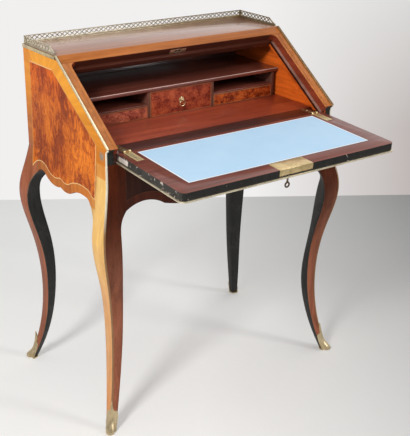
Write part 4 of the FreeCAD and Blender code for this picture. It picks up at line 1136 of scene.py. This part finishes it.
drawer_lining = wood("drawer_lining", (0.30, 0.15, 0.065), (0.55, 0.32, 0.15), along="Y", coat=0.0, wear=0.5)
bead_wood = wood("cock_bead", (0.18, 0.050, 0.022), (0.42, 0.145, 0.065), along="X", pores=0.2)
red_burl = burl("red_drawer_burl", (0.13, 0.019, 0.010), (0.30, 0.046, 0.022), (0.50, 0.108, 0.042),
                (190, 190, 230))
left_burl = burl("left_drawer_burl", (0.16, 0.032, 0.021), (0.37, 0.078, 0.046),
                 (0.60, 0.170, 0.086), (190, 190, 230))
warm_burl = burl("warm_drawer_burl", (0.12, 0.017, 0.006), (0.38, 0.060, 0.014),
                 (0.66, 0.160, 0.028), (170, 170, 210))
BEAD = 0.0016
BEAD_INSET = 0.62
BEAD_PROUD = 0.8
BEAD_ROUND = [(0, -0.6), (0.75, -0.6), (1.0, 0.0), (0.75, 0.6), (0, 0.6)]


def bead_frame(low, high, front):
    """A rounded bead, mitred at its corners, standing proud round the edge of a drawer front."""
    shape = bmesh.new()
    corners = [(low.x, low.z, 1, 1), (high.x, low.z, -1, 1), (high.x, high.z, -1, -1),
               (low.x, high.z, 1, -1)]
    rows = []
    for x, z, inward, upward in corners:
        row = []
        for proud, over in BEAD_ROUND:
            step = BEAD * (BEAD_INSET + over)
            spot = (x + inward * step, front - proud * BEAD * BEAD_PROUD, z + upward * step)
            row.append(shape.verts.new(spot))
        rows.append(row)
    for first, second in zip(rows, rows[1:] + rows[:1]):
        for k in range(len(BEAD_ROUND)):
            step = (k + 1) % len(BEAD_ROUND)
            face = shape.faces.new((first[k], second[k], second[step], first[step]))
            face.smooth = k < len(BEAD_ROUND) - 1
    bmesh.ops.recalc_face_normals(shape, faces=shape.faces)
    return shape


for name, front_burl in (("left", left_burl), ("centre", red_burl), ("right", warm_burl)):
    body = f"drawer_{name}"
    add_copy(f"{body}_burl_front", f"{body}_front", [front_burl, drawer_lining], body, "drawer_veneer",
             ease=0.0005, painter=front_painter)
    low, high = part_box(f"{body}_front")
    bead = to_mesh(bead_frame(low, high, low.y), f"{body}_cock_bead")
    add_piece(f"{body}_cock_bead", bead, [bead_wood], body, "drawer_veneer")
    for board in ("sides", "back", "bottom"):
        nodes[f"{body}_{board}"].material_slots[0].material = drawer_lining


# Ring pull: a turned brass boss screwed through the centre drawer's front, and a ring of brass wire
# that hangs in its eye.

pull_brass = make_brass("pull_brass", (0.78, 0.64, 0.38), (0.40, 0.28, 0.12), 0.4)
BOSS_PROFILE = [(1.0, 0.0), (1.0, 0.10), (0.93, 0.16), (0.80, 0.17), (0.74, 0.22), (0.62, 0.24),
                (0.50, 0.21), (0.44, 0.26), (0.40, 0.45), (0.42, 0.62), (0.50, 0.74), (0.47, 0.88),
                (0.32, 0.97), (0.0, 1.0)]
BOSS_TURNS = 36


def boss_mesh():
    """The boss turned from a profile of (radius, depth) shares."""
    low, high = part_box("pull_boss")
    middle = (low + high) / 2
    radius, depth = (high.x - low.x) / 2, high.y - low.y
    shape = bmesh.new()
    rows = []
    for share, deep in BOSS_PROFILE[:-1]:
        rows.append([shape.verts.new((middle.x + radius * share * cos(2 * pi * k / BOSS_TURNS),
                                      high.y - depth * deep,
                                      middle.z + radius * share * sin(2 * pi * k / BOSS_TURNS)))
                     for k in range(BOSS_TURNS)])
    tip = shape.verts.new((middle.x, low.y, middle.z))
    for corners in ring_faces(rows):
        shape.faces.new(corners)
    for k in range(BOSS_TURNS):
        shape.faces.new((rows[-1][k], rows[-1][(k + 1) % BOSS_TURNS], tip))
    shape.faces.new(rows[0])
    for face in shape.faces:
        face.smooth = len(face.verts) < 5
    bmesh.ops.recalc_face_normals(shape, faces=shape.faces)
    return to_mesh(shape, "ring_pull_boss")


add_piece("ring_pull_boss", boss_mesh(), [pull_brass], "drawer_centre", "gilt_brass", "pull_boss")
nodes["pull_ring"].material_slots[0].material = pull_brass


# Fall: a mahogany board hinged at the floor. Its inner face is framed in mahogany round a blue leather,
# its edges are stained black and chipped, and its outer face is burl with honey crossbanding.

HINGE = Vector((0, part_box("floor_board")[0].y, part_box("floor_board")[1].z))
DROOP = radians(2.9)
FALL_OUT = Vector((0, -cos(DROOP), -sin(DROOP)))
FALL_UP = Vector((0, -sin(DROOP), cos(DROOP)))
FALL_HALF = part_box("fall_panel")[1].x
FALL_LENGTH = (HINGE.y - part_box("fall_panel")[0].y) / cos(DROOP)
OUTER_BAND = 0.042
BAND_JOINT = 0.0001
OUTER_LINE = (0.0007, 0.0009)
fall_mahogany = wood("fall_mahogany", (0.080, 0.019, 0.013), (0.29, 0.080, 0.052), along="X",
                     coat=0.22, shine=0.25)
fall_edge_black = make_ebonised("fall_edge_black", 0.69)
fall_edge_chipped = make_ebonised("fall_edge_chipped", 0.605, 0.34)


def make_fall_front():
    """The outer face: a burl field, a pale line and a honey band on all four sides."""
    material, tree, shader = new_material("fall_front_veneer", coat_weight=0.03, coat_roughness=0.12,
                                          specular_ior_level=0.12)
    parts = add(tree, "SeparateXYZ", {0: add(tree, "TexCoord", {}).outputs["Object"]}).outputs
    from_end = worked(tree, "SUBTRACT", FALL_HALF, worked(tree, "ABSOLUTE", parts["X"]))
    out = worked(tree, "DIVIDE", worked(tree, "SUBTRACT", HINGE.y, parts["Y"]), cos(DROOP))
    from_edge = worked(tree, "MINIMUM", out, worked(tree, "SUBTRACT", FALL_LENGTH, out))
    inset = worked(tree, "MINIMUM", from_end, from_edge)
    figure = placed(tree, burl_group, Vector=coordinates(tree, (38, 66, 66), turn=(0, pi / 2, 0)), Eyes=0.6,
                    Dark=(0.17, 0.024, 0.005), Red=(0.52, 0.085, 0.007),
                    Bright=(0.90, 0.235, 0.012))
    ends = placed(tree, grain_group, Vector=coordinates(tree, [GRAIN_ACROSS] * 3), Figure=0.6, Pores=0.3,
                  Dark=(0.50, 0.155, 0.006), Light=(0.82, 0.34, 0.020))
    in_field = spread(tree, inset, OUTER_BAND - BAND_JOINT, OUTER_BAND + BAND_JOINT)
    off_line = worked(tree, "ABSOLUTE", worked(tree, "SUBTRACT", inset, OUTER_BAND))
    line = spread(tree, off_line, *OUTER_LINE, 1.0, 0.0)
    colour = mixed(tree, in_field, ends["Color"], figure["Color"])
    colour = mixed(tree, line, colour, (0.85, 0.55, 0.25))
    polished(tree, shader, colour, figure, 0.3, 0.08)
    return material


def fall_painter(normal, middle):
    """The inner face, the outer face, and the edges, of which the left one is chipped."""
    level = normal.dot(FALL_UP)
    if level > 0.9:
        return 0
    if level < -0.9:
        return 1
    return 3 if normal.x < -0.8 else 2


add_copy("fall_board", "fall_panel", [fall_mahogany, make_fall_front(), fall_edge_black, fall_edge_chipped],
         "fall", "fall_mahogany", ease=0.0011, painter=fall_painter)
lip_brass = make_brass("lip_brass", (0.95, 0.84, 0.62), (0.42, 0.33, 0.20), 0.6, dull=0.12, metal=0.8)
add_copy("fall_brass_lip", "fall_lip", [lip_brass], "fall", "gilt_brass", ease=0.0007)
plate_steel = make_brass("edge_plate_metal", (0.92, 0.83, 0.74), (0.45, 0.37, 0.31), 0.5, dull=0.1,
                         metal=0.4)
add_copy("fall_side_plates", "fall_edge_plates", [plate_steel], "fall", "steel", ease=0.0004)


# Leather: a sky-blue hide let into the fall, flush with its frame, with a blind-tooled line inside a
# pale edge, and a dark line of painted shade where the hide meets the frame.

TOOLED_INSET = 0.0064
TOOLED_LINE = (0.0003, 0.0006)
PALE_EDGE = (0.0034, 0.0048)
PAINTED_GAP_SHADE = (0.0002, 0.0005)
LEATHER_GAP = 0.0006
LEATHER_LIFT = 0.0003


def make_leather(width, depth):
    """Dyed hide by its UV map in metres: fine grain, slow clouds, a few stains, a tooled border,
    and a dark line of painted shade at its very edge.
    """
    material, tree, shader = new_material("blue_leather", specular_ior_level=0.3)
    parts = add(tree, "SeparateXYZ", {0: add(tree, "TexCoord", {}).outputs["UV"]}).outputs
    from_side = worked(tree, "MINIMUM", parts["X"], worked(tree, "SUBTRACT", width, parts["X"]))
    from_edge = worked(tree, "MINIMUM", parts["Y"], worked(tree, "SUBTRACT", depth, parts["Y"]))
    inset = worked(tree, "MINIMUM", from_side, from_edge)
    plain = coordinates(tree, source="UV")
    clouds = cloud(tree, plain, 7.0, 5.0, 0.6)
    stains = spread(tree, cloud(tree, plain, 26.0, 4.0, 0.6, 0.5), 0.70, 0.78, 0.0, 0.35)
    pebble = add(tree, "TexVoronoi", {"Vector": plain, "Scale": 620.0}).outputs["Distance"]
    creases = cloud(tree, plain, 180.0, 5.0, 0.7, 0.6)
    colour = mixed(tree, clouds, (0.44, 0.68, 0.90), (0.58, 0.775, 0.93))
    colour = mixed(tree, spread(tree, pebble, 0.1, 0.6, 0.10, 0.0), colour, (0.33, 0.52, 0.75))
    colour = mixed(tree, stains, colour, (0.40, 0.52, 0.62))
    off_line = worked(tree, "ABSOLUTE", worked(tree, "SUBTRACT", inset, TOOLED_INSET))
    tooled = spread(tree, off_line, *TOOLED_LINE, 1.0, 0.0)
    colour = mixed(tree, spread(tree, inset, *PALE_EDGE, 0.85, 0.0), colour, (0.90, 0.92, 0.95))
    colour = mixed(tree, worked(tree, "MULTIPLY", tooled, 0.35), colour, (0.28, 0.42, 0.60))
    # A dark line at the very edge of the hide: painted shade in the gap against the frame.
    colour = mixed(tree, spread(tree, inset, *PAINTED_GAP_SHADE, 0.6, 0.0), colour, (0.08, 0.05, 0.05))
    height = worked(tree, "SUBTRACT", worked(tree, "ADD", pebble, creases),
                    worked(tree, "MULTIPLY", tooled, 1.5))
    finish_surface(tree, shader, colour, spread(tree, creases, 0.2, 0.8, 0.50, 0.66), height, 0.25, 0.0003)
    return material


leather_low, leather_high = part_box("leather_inset")
LEATHER_NEAR = (HINGE.y - leather_high.y) / cos(DROOP) + LEATHER_GAP
LEATHER_FAR = (HINGE.y - leather_low.y) / cos(DROOP) - LEATHER_GAP


def on_fall(x, out, lift):
    return HINGE + Vector((x, 0, 0)) + FALL_OUT * out + FALL_UP * lift


leather_pairs = [((x, LEATHER_NEAR), (x, LEATHER_FAR))
                 for x in steps_between(leather_low.x, leather_high.x, 24)]
leather = lay_sheet("leather_hide", leather_pairs, 10, on_fall, LEATHER_LIFT,
                    make_leather(leather_high.x - leather_low.x, LEATHER_FAR - LEATHER_NEAR),
                    "writing_leather", "fall")
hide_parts("leather_inset")


# Hinges: two brass strap hinges, a leaf let into the floor and a leaf let into the fall, with knuckles
# on a common pin, and three slotted countersunk screws in each leaf.

hinge_brass = make_brass("hinge_brass", (0.80, 0.64, 0.34), (0.46, 0.34, 0.16), 0.4, dull=0.12)
for hand in ("left", "right"):
    for part, body, brass in (("floor", "carcass", dark_brass), ("fall", "fall", hinge_brass)):
        add_copy(f"hinge_{hand}_{part}_strap", f"hinge_{hand}_{part}_leaf", [brass], body, "gilt_brass",
                 ease=0.0003)
nodes["hinge_pins"].material_slots[0].material = hinge_brass


def make_slotted_screws():
    """Slotted screw heads on points: a sunk disc, two half heads and a slot turned at random."""
    tree, given, result = new_tree("Slotted screws", ("Radius", "Float"), ("Slot", "Float"),
                                   ("Head", "Float"), ("Lean", "Float"), ("Material", "Material"))
    arc = add(tree, "CurveArc", {"Resolution": 15, "Radius": given["Radius"], "Start Angle": 0.0,
                                 "Sweep Angle": pi})
    closed = add(tree, "SetSplineCyclic", {"Geometry": arc.outputs[0], "Cyclic": True}).outputs[0]
    plate = add(tree, "FillCurve", {"Curve": closed}, mode="NGONS").outputs[0]
    head = add(tree, "ExtrudeMesh", {"Mesh": plate, "Offset Scale": given["Head"]}).outputs[0]
    gap = add(tree, "ShaderNodeMath", {0: given["Slot"], 1: 0.5}, operation="MULTIPLY").outputs[0]
    aside = add(tree, "ShaderNodeCombineXYZ", {1: gap}).outputs[0]
    shifted = add(tree, "Transform", {"Geometry": head, "Translation": aside}).outputs[0]
    other = add(tree, "Transform", {"Geometry": shifted, "Rotation": (0, 0, pi)}).outputs[0]
    base = add(tree, "MeshCylinder", {"Vertices": 24, "Radius": given["Radius"],
                                      "Depth": given["Head"]}).outputs[0]
    whole = add(tree, "JoinGeometry", {})
    for part in (shifted, other, base):
        tree.links.new(part, whole.inputs[0])
    spin = add(tree, "FunctionNodeRandomValue", {"Min": 0.0, "Max": pi, "Seed": 7}, data_type="FLOAT")
    spin_value = [socket for socket in spin.outputs if socket.enabled][0]
    turn = add(tree, "ShaderNodeCombineXYZ", {0: given["Lean"], 2: spin_value}).outputs[0]
    set_out = add(tree, "InstanceOnPoints", {"Points": given["Geometry"], "Instance": whole.outputs[0],
                                             "Rotation": turn})
    close_tree(tree, set_out.outputs[0], given["Material"], result)
    return tree


screw_tree = make_slotted_screws()
screw_steel = make_brass("screw_steel", (0.62, 0.58, 0.52), (0.25, 0.20, 0.15), 0.5, dull=0.05)


def screw_places(node, up):
    """The middle of each screw's head: the top of each separate solid of a node."""
    shape = cad_shape(node)
    seen, places = set(), []
    for start in shape.verts:
        if start in seen:
            continue
        seen.add(start)
        found = [start]
        for vertex in found:
            for edge in vertex.link_edges:
                other = edge.other_vert(vertex)
                if other not in seen:
                    seen.add(other)
                    found.append(other)
        spots = [vertex.co.copy() for vertex in found]
        level = max(spot.dot(up) for spot in spots)
        middle = sum(spots, Vector()) / len(spots)
        places.append(middle + up * (level - middle.dot(up)))
    shape.free()
    return places


SCREW_HEAD = 0.0005
SCREW_SINK = 0.6
SCREW_RADIUS = 0.0031
SCREW_SLOT = 0.0009
for place, body, up, lean in (("floor", "carcass", Vector((0, 0, 1)), 0.0),
                              ("fall", "fall", FALL_UP, DROOP)):
    node = f"hinge_{place}_screws"
    spots = bpy.data.meshes.new("screw_spots")
    spots.from_pydata([spot - up * SCREW_HEAD * SCREW_SINK for spot in screw_places(node, up)], [], [])
    values = {"Radius": SCREW_RADIUS, "Slot": SCREW_SLOT, "Head": SCREW_HEAD, "Lean": lean,
              "Material": screw_steel}
    add_piece(f"hinge_{place}_slotted_screws", grown("slotted_screws", screw_tree, spots, values),
              [screw_steel], body, "steel", node)


# Lock: a brass lock let into the front edge of the fall, with an L-shaped plate over the edge, a bolt that
# shoots up into the strike, an escutcheon outside and a small steel key.

lock_brass = make_brass("lock_plate_brass", (0.90, 0.70, 0.38), (0.50, 0.34, 0.13), 0.75, dull=0.08)
key_steel = make_brass("key_steel", (0.24, 0.18, 0.12), (0.08, 0.055, 0.035), 0.7, dull=0.2)
add_copy("lock_plate", "lock_case", [lock_brass], "fall", "gilt_brass", ease=0.0004)
add_copy("key_escutcheon", "escutcheon", [trim_brass], "fall", "gilt_brass", ease=0.0003)
nodes["lock_bolt"].material_slots[0].material = lock_brass
KEY_BOW = 0.0058
KEY_WIRE = 0.0021
KEY_FOOT = 0.0012
BIT_REACH = 0.0078
BIT_HEIGHT = 0.0045
BIT_HALF = 0.001
BIT_SETBACK = 0.0003
BOW_ZONE = 0.008
BOW_STEPS = 40
WIRE_STEPS = 12
STEM_STEPS = 16
STEM_RADIUS = 0.0023
KEY_STEM = [(0.0017, 0.0), (0.0030, 0.0012), (0.0030, 0.0024), (0.0019, 0.0034), (STEM_RADIUS, 0.0046)]


def key_mesh():
    """An oval bow of round wire, a turned collar, a round stem and a bit across its end."""
    levels = [vertex.co for vertex in nodes["key"].data.vertices]
    foot = min(spot.dot(FALL_UP) for spot in levels)
    stem_top = max(spot.dot(FALL_UP) for spot in levels)
    bow = [spot for spot in levels if spot.dot(FALL_UP) < foot + BOW_ZONE]
    root = sum(bow, Vector()) / len(bow)
    root += FALL_UP * (foot + KEY_FOOT - root.dot(FALL_UP))

    def spot(x, out, up):
        return shape.verts.new(root + Vector((x, 0, 0)) + FALL_OUT * out + FALL_UP * up)

    shape = bmesh.new()
    rows = []
    for step in range(BOW_STEPS):
        turn = 2 * pi * step / BOW_STEPS
        ring = [KEY_BOW + KEY_WIRE * cos(2 * pi * k / WIRE_STEPS) for k in range(WIRE_STEPS)]
        rows.append([spot(radius * sin(turn), KEY_WIRE * sin(2 * pi * k / WIRE_STEPS),
                          KEY_BOW + KEY_WIRE - radius * cos(turn)) for k, radius in enumerate(ring)])
    faces = ring_faces(rows + rows[:1])
    bow_top = 2 * KEY_BOW + KEY_WIRE
    profile = [(radius, bow_top + up) for radius, up in KEY_STEM]
    profile.append((STEM_RADIUS, stem_top - foot - KEY_FOOT))
    turns = [2 * pi * k / STEM_STEPS for k in range(STEM_STEPS)]
    stem = [[spot(radius * cos(turn), radius * sin(turn), up) for turn in turns] for radius, up in profile]
    faces += ring_faces(stem) + [stem[0][::-1], stem[-1]]
    high = profile[-1][1] - BIT_SETBACK
    low = high - BIT_HEIGHT
    outline = ((-BIT_HALF, low), (BIT_HALF, low), (BIT_HALF, high), (-BIT_HALF, high))
    bit = [[spot(x, out, up) for out, up in outline] for x in (0.0, BIT_REACH)]
    faces += ring_faces(bit) + [bit[0][::-1], bit[-1]]
    for corners in faces:
        shape.faces.new(corners).smooth = len(corners) == 4
    bmesh.ops.recalc_face_normals(shape, faces=shape.faces)
    return to_mesh(shape, "turned_key")


add_piece("turned_key", key_mesh(), [key_steel], "key", "steel", "key")


# Studio: a pale floor with painted shade and a painted glow, a glowing painted backdrop, soft light from
# the left, the right and above, and the camera at the height and angle from which the desk is seen.

VIEW_TURN = radians(-35.97)
VIEW_LIFT = radians(22.78)
VIEW_ROLL = radians(0.86)
VIEW_DISTANCE = 2.64065
LENS = 76.87
WALL_FOOT = 1.196
WALL_SKEW = 0.0764
aim = Vector((0.08605, BACK_PLANE - 0.2, 0.40832))
level = Vector((sin(VIEW_TURN), -cos(VIEW_TURN), 0))


def make_floor():
    """Pale paper: a floor that takes shadows up to the wall's foot, painted darker towards the back
    and to the right as painted shade, with a faint painted glow that only the camera sees; past the
    foot, a glowing painted wall that is darker low on its right.
    """
    material, tree, shader = new_material("studio_paper", roughness=0.8, specular_ior_level=0.1)
    place = add(tree, "TexCoord", {}).outputs["Object"]
    along = add(tree, "VectorMath", {0: place, 1: tuple(-level)}, operation="DOT_PRODUCT").outputs["Value"]
    across = add(tree, "VectorMath", {0: place, 1: (-level.y, level.x, 0)},
                 operation="DOT_PRODUCT").outputs["Value"]
    foot = WALL_FOOT - level.dot(Vector((aim.x, aim.y, 0)))
    mottle = cloud(tree, place, 2.2, 5.0, 0.6)
    # Darker towards the back: painted shade.
    tint = mixed(tree, spread(tree, along, -1.4, foot), (0.88, 0.88, 0.855), (0.70, 0.70, 0.68))
    soiled = mixed(tree, 1.0, tint, (0.86, 0.86, 0.86), "MULTIPLY")
    tint = mixed(tree, worked(tree, "MULTIPLY", mottle, 0.35), tint, soiled)
    # Darker to the right: painted shade.
    right = spread(tree, across, 0.0, 0.9)
    tint = mixed(tree, right, tint, mixed(tree, 1.0, tint, (0.66, 0.66, 0.66), "MULTIPLY"))
    tree.links.new(tint, shader.inputs["Base Color"])
    # A glow that only the camera sees, strongest on the left: painted light on the floor.
    glow = mixed(tree, right, (0.22, 0.22, 0.215), (0.0, 0.0, 0.0))
    seen = add(tree, "LightPath", {}).outputs["Is Camera Ray"]
    tree.links.new(mixed(tree, seen, (0, 0, 0), glow), shader.inputs["Emission Color"])
    shader.inputs["Emission Strength"].default_value = 1.0
    # Past the foot the floor shows a glowing painted wall, not a lit one, darker low on its right.
    wall = add(tree, "Emission", {"Strength": 1.0})
    far = worked(tree, "DIVIDE", 1.0, worked(tree, "ADD", along, VIEW_DISTANCE))
    shaded = mixed(tree, spread(tree, far, 0.11, 0.20), (0.70, 0.69, 0.675), (0.50, 0.45, 0.435))
    paler = mixed(tree, spread(tree, worked(tree, "MULTIPLY", across, far), 0.05, 0.225),
                  (0.88, 0.87, 0.865), shaded)
    tree.links.new(paler, wall.inputs["Color"])
    skew = worked(tree, "MULTIPLY", across, WALL_SKEW)
    beyond = worked(tree, "GREATER_THAN", worked(tree, "SUBTRACT", along, skew), foot)
    both = add(tree, "MixShader", {0: beyond, 1: shader.outputs[0], 2: wall.outputs[0]})
    tree.links.new(both.outputs[0], tree.nodes["Material Output"].inputs["Surface"])
    return material


FLOOR_HALF = 9.0
floor_mesh = bpy.data.meshes.new("studio_floor")
floor_mesh.from_pydata([(-FLOOR_HALF, -FLOOR_HALF, 0), (FLOOR_HALF, -FLOOR_HALF, 0),
                        (FLOOR_HALF, FLOOR_HALF, 0), (-FLOOR_HALF, FLOOR_HALF, 0)], [], [(0, 1, 2, 3)])
floor_mesh.materials.append(make_floor())
floor = bpy.data.objects.new("studio_floor", floor_mesh)
scene.collection.objects.link(floor)

scene.view_settings.view_transform = "Standard"
world = bpy.data.worlds.new("studio_light")
world.use_nodes = True
sky = world.node_tree
seen = add(sky, "LightPath", {}).outputs
toward = add(sky, "VectorMath", {0: add(sky, "TexCoord", {}).outputs["Generated"], 1: tuple(-level)},
             operation="DOT_PRODUCT").outputs["Value"]
backdrop = mixed(sky, spread(sky, toward, 0.1, 0.8), (0.42, 0.42, 0.43), (0.88, 0.87, 0.865))
shown = worked(sky, "MAXIMUM", worked(sky, "MAXIMUM", seen["Is Camera Ray"], seen["Is Glossy Ray"]),
               seen["Is Transmission Ray"])
sky.links.new(mixed(sky, shown, (0.42, 0.42, 0.43), backdrop), sky.nodes["Background"].inputs["Color"])
scene.world = world


def add_softbox(name, place, target, size, power):
    """A large soft lamp that points at a place."""
    lamp = bpy.data.lights.new(name, "AREA")
    lamp.energy = power
    lamp.shape = "RECTANGLE"
    lamp.size, lamp.size_y = size
    holder = bpy.data.objects.new(name, lamp)
    holder.location = place
    holder.rotation_euler = (Vector(target) - Vector(place)).to_track_quat("-Z", "Y").to_euler()
    scene.collection.objects.link(holder)


add_softbox("left_softbox", (-2.8, -1.4, 2.7), (0, 0.1, 0.6), (0.7, 0.7), 78)
add_softbox("right_softbox", (1.7, -2.4, 2.1), (0, 0.1, 0.4), (0.6, 0.6), 24)
add_softbox("top_softbox", (1.1, -0.2, 3.0), (0, 0.1, 0.7), (1.6, 1.0), 10)

away = level * cos(VIEW_LIFT) + Vector((0, 0, sin(VIEW_LIFT)))
camera = bpy.data.cameras.new("photo_camera")
camera.lens = LENS
camera.sensor_width = 36
eye = bpy.data.objects.new("photo_camera", camera)
facing = away.to_track_quat("Z", "Y").to_matrix().to_4x4() @ Matrix.Rotation(VIEW_ROLL, 4, "Z")
eye.matrix_world = Matrix.Translation(aim + away * VIEW_DISTANCE) @ facing
scene.collection.objects.link(eye)
scene.camera = eye
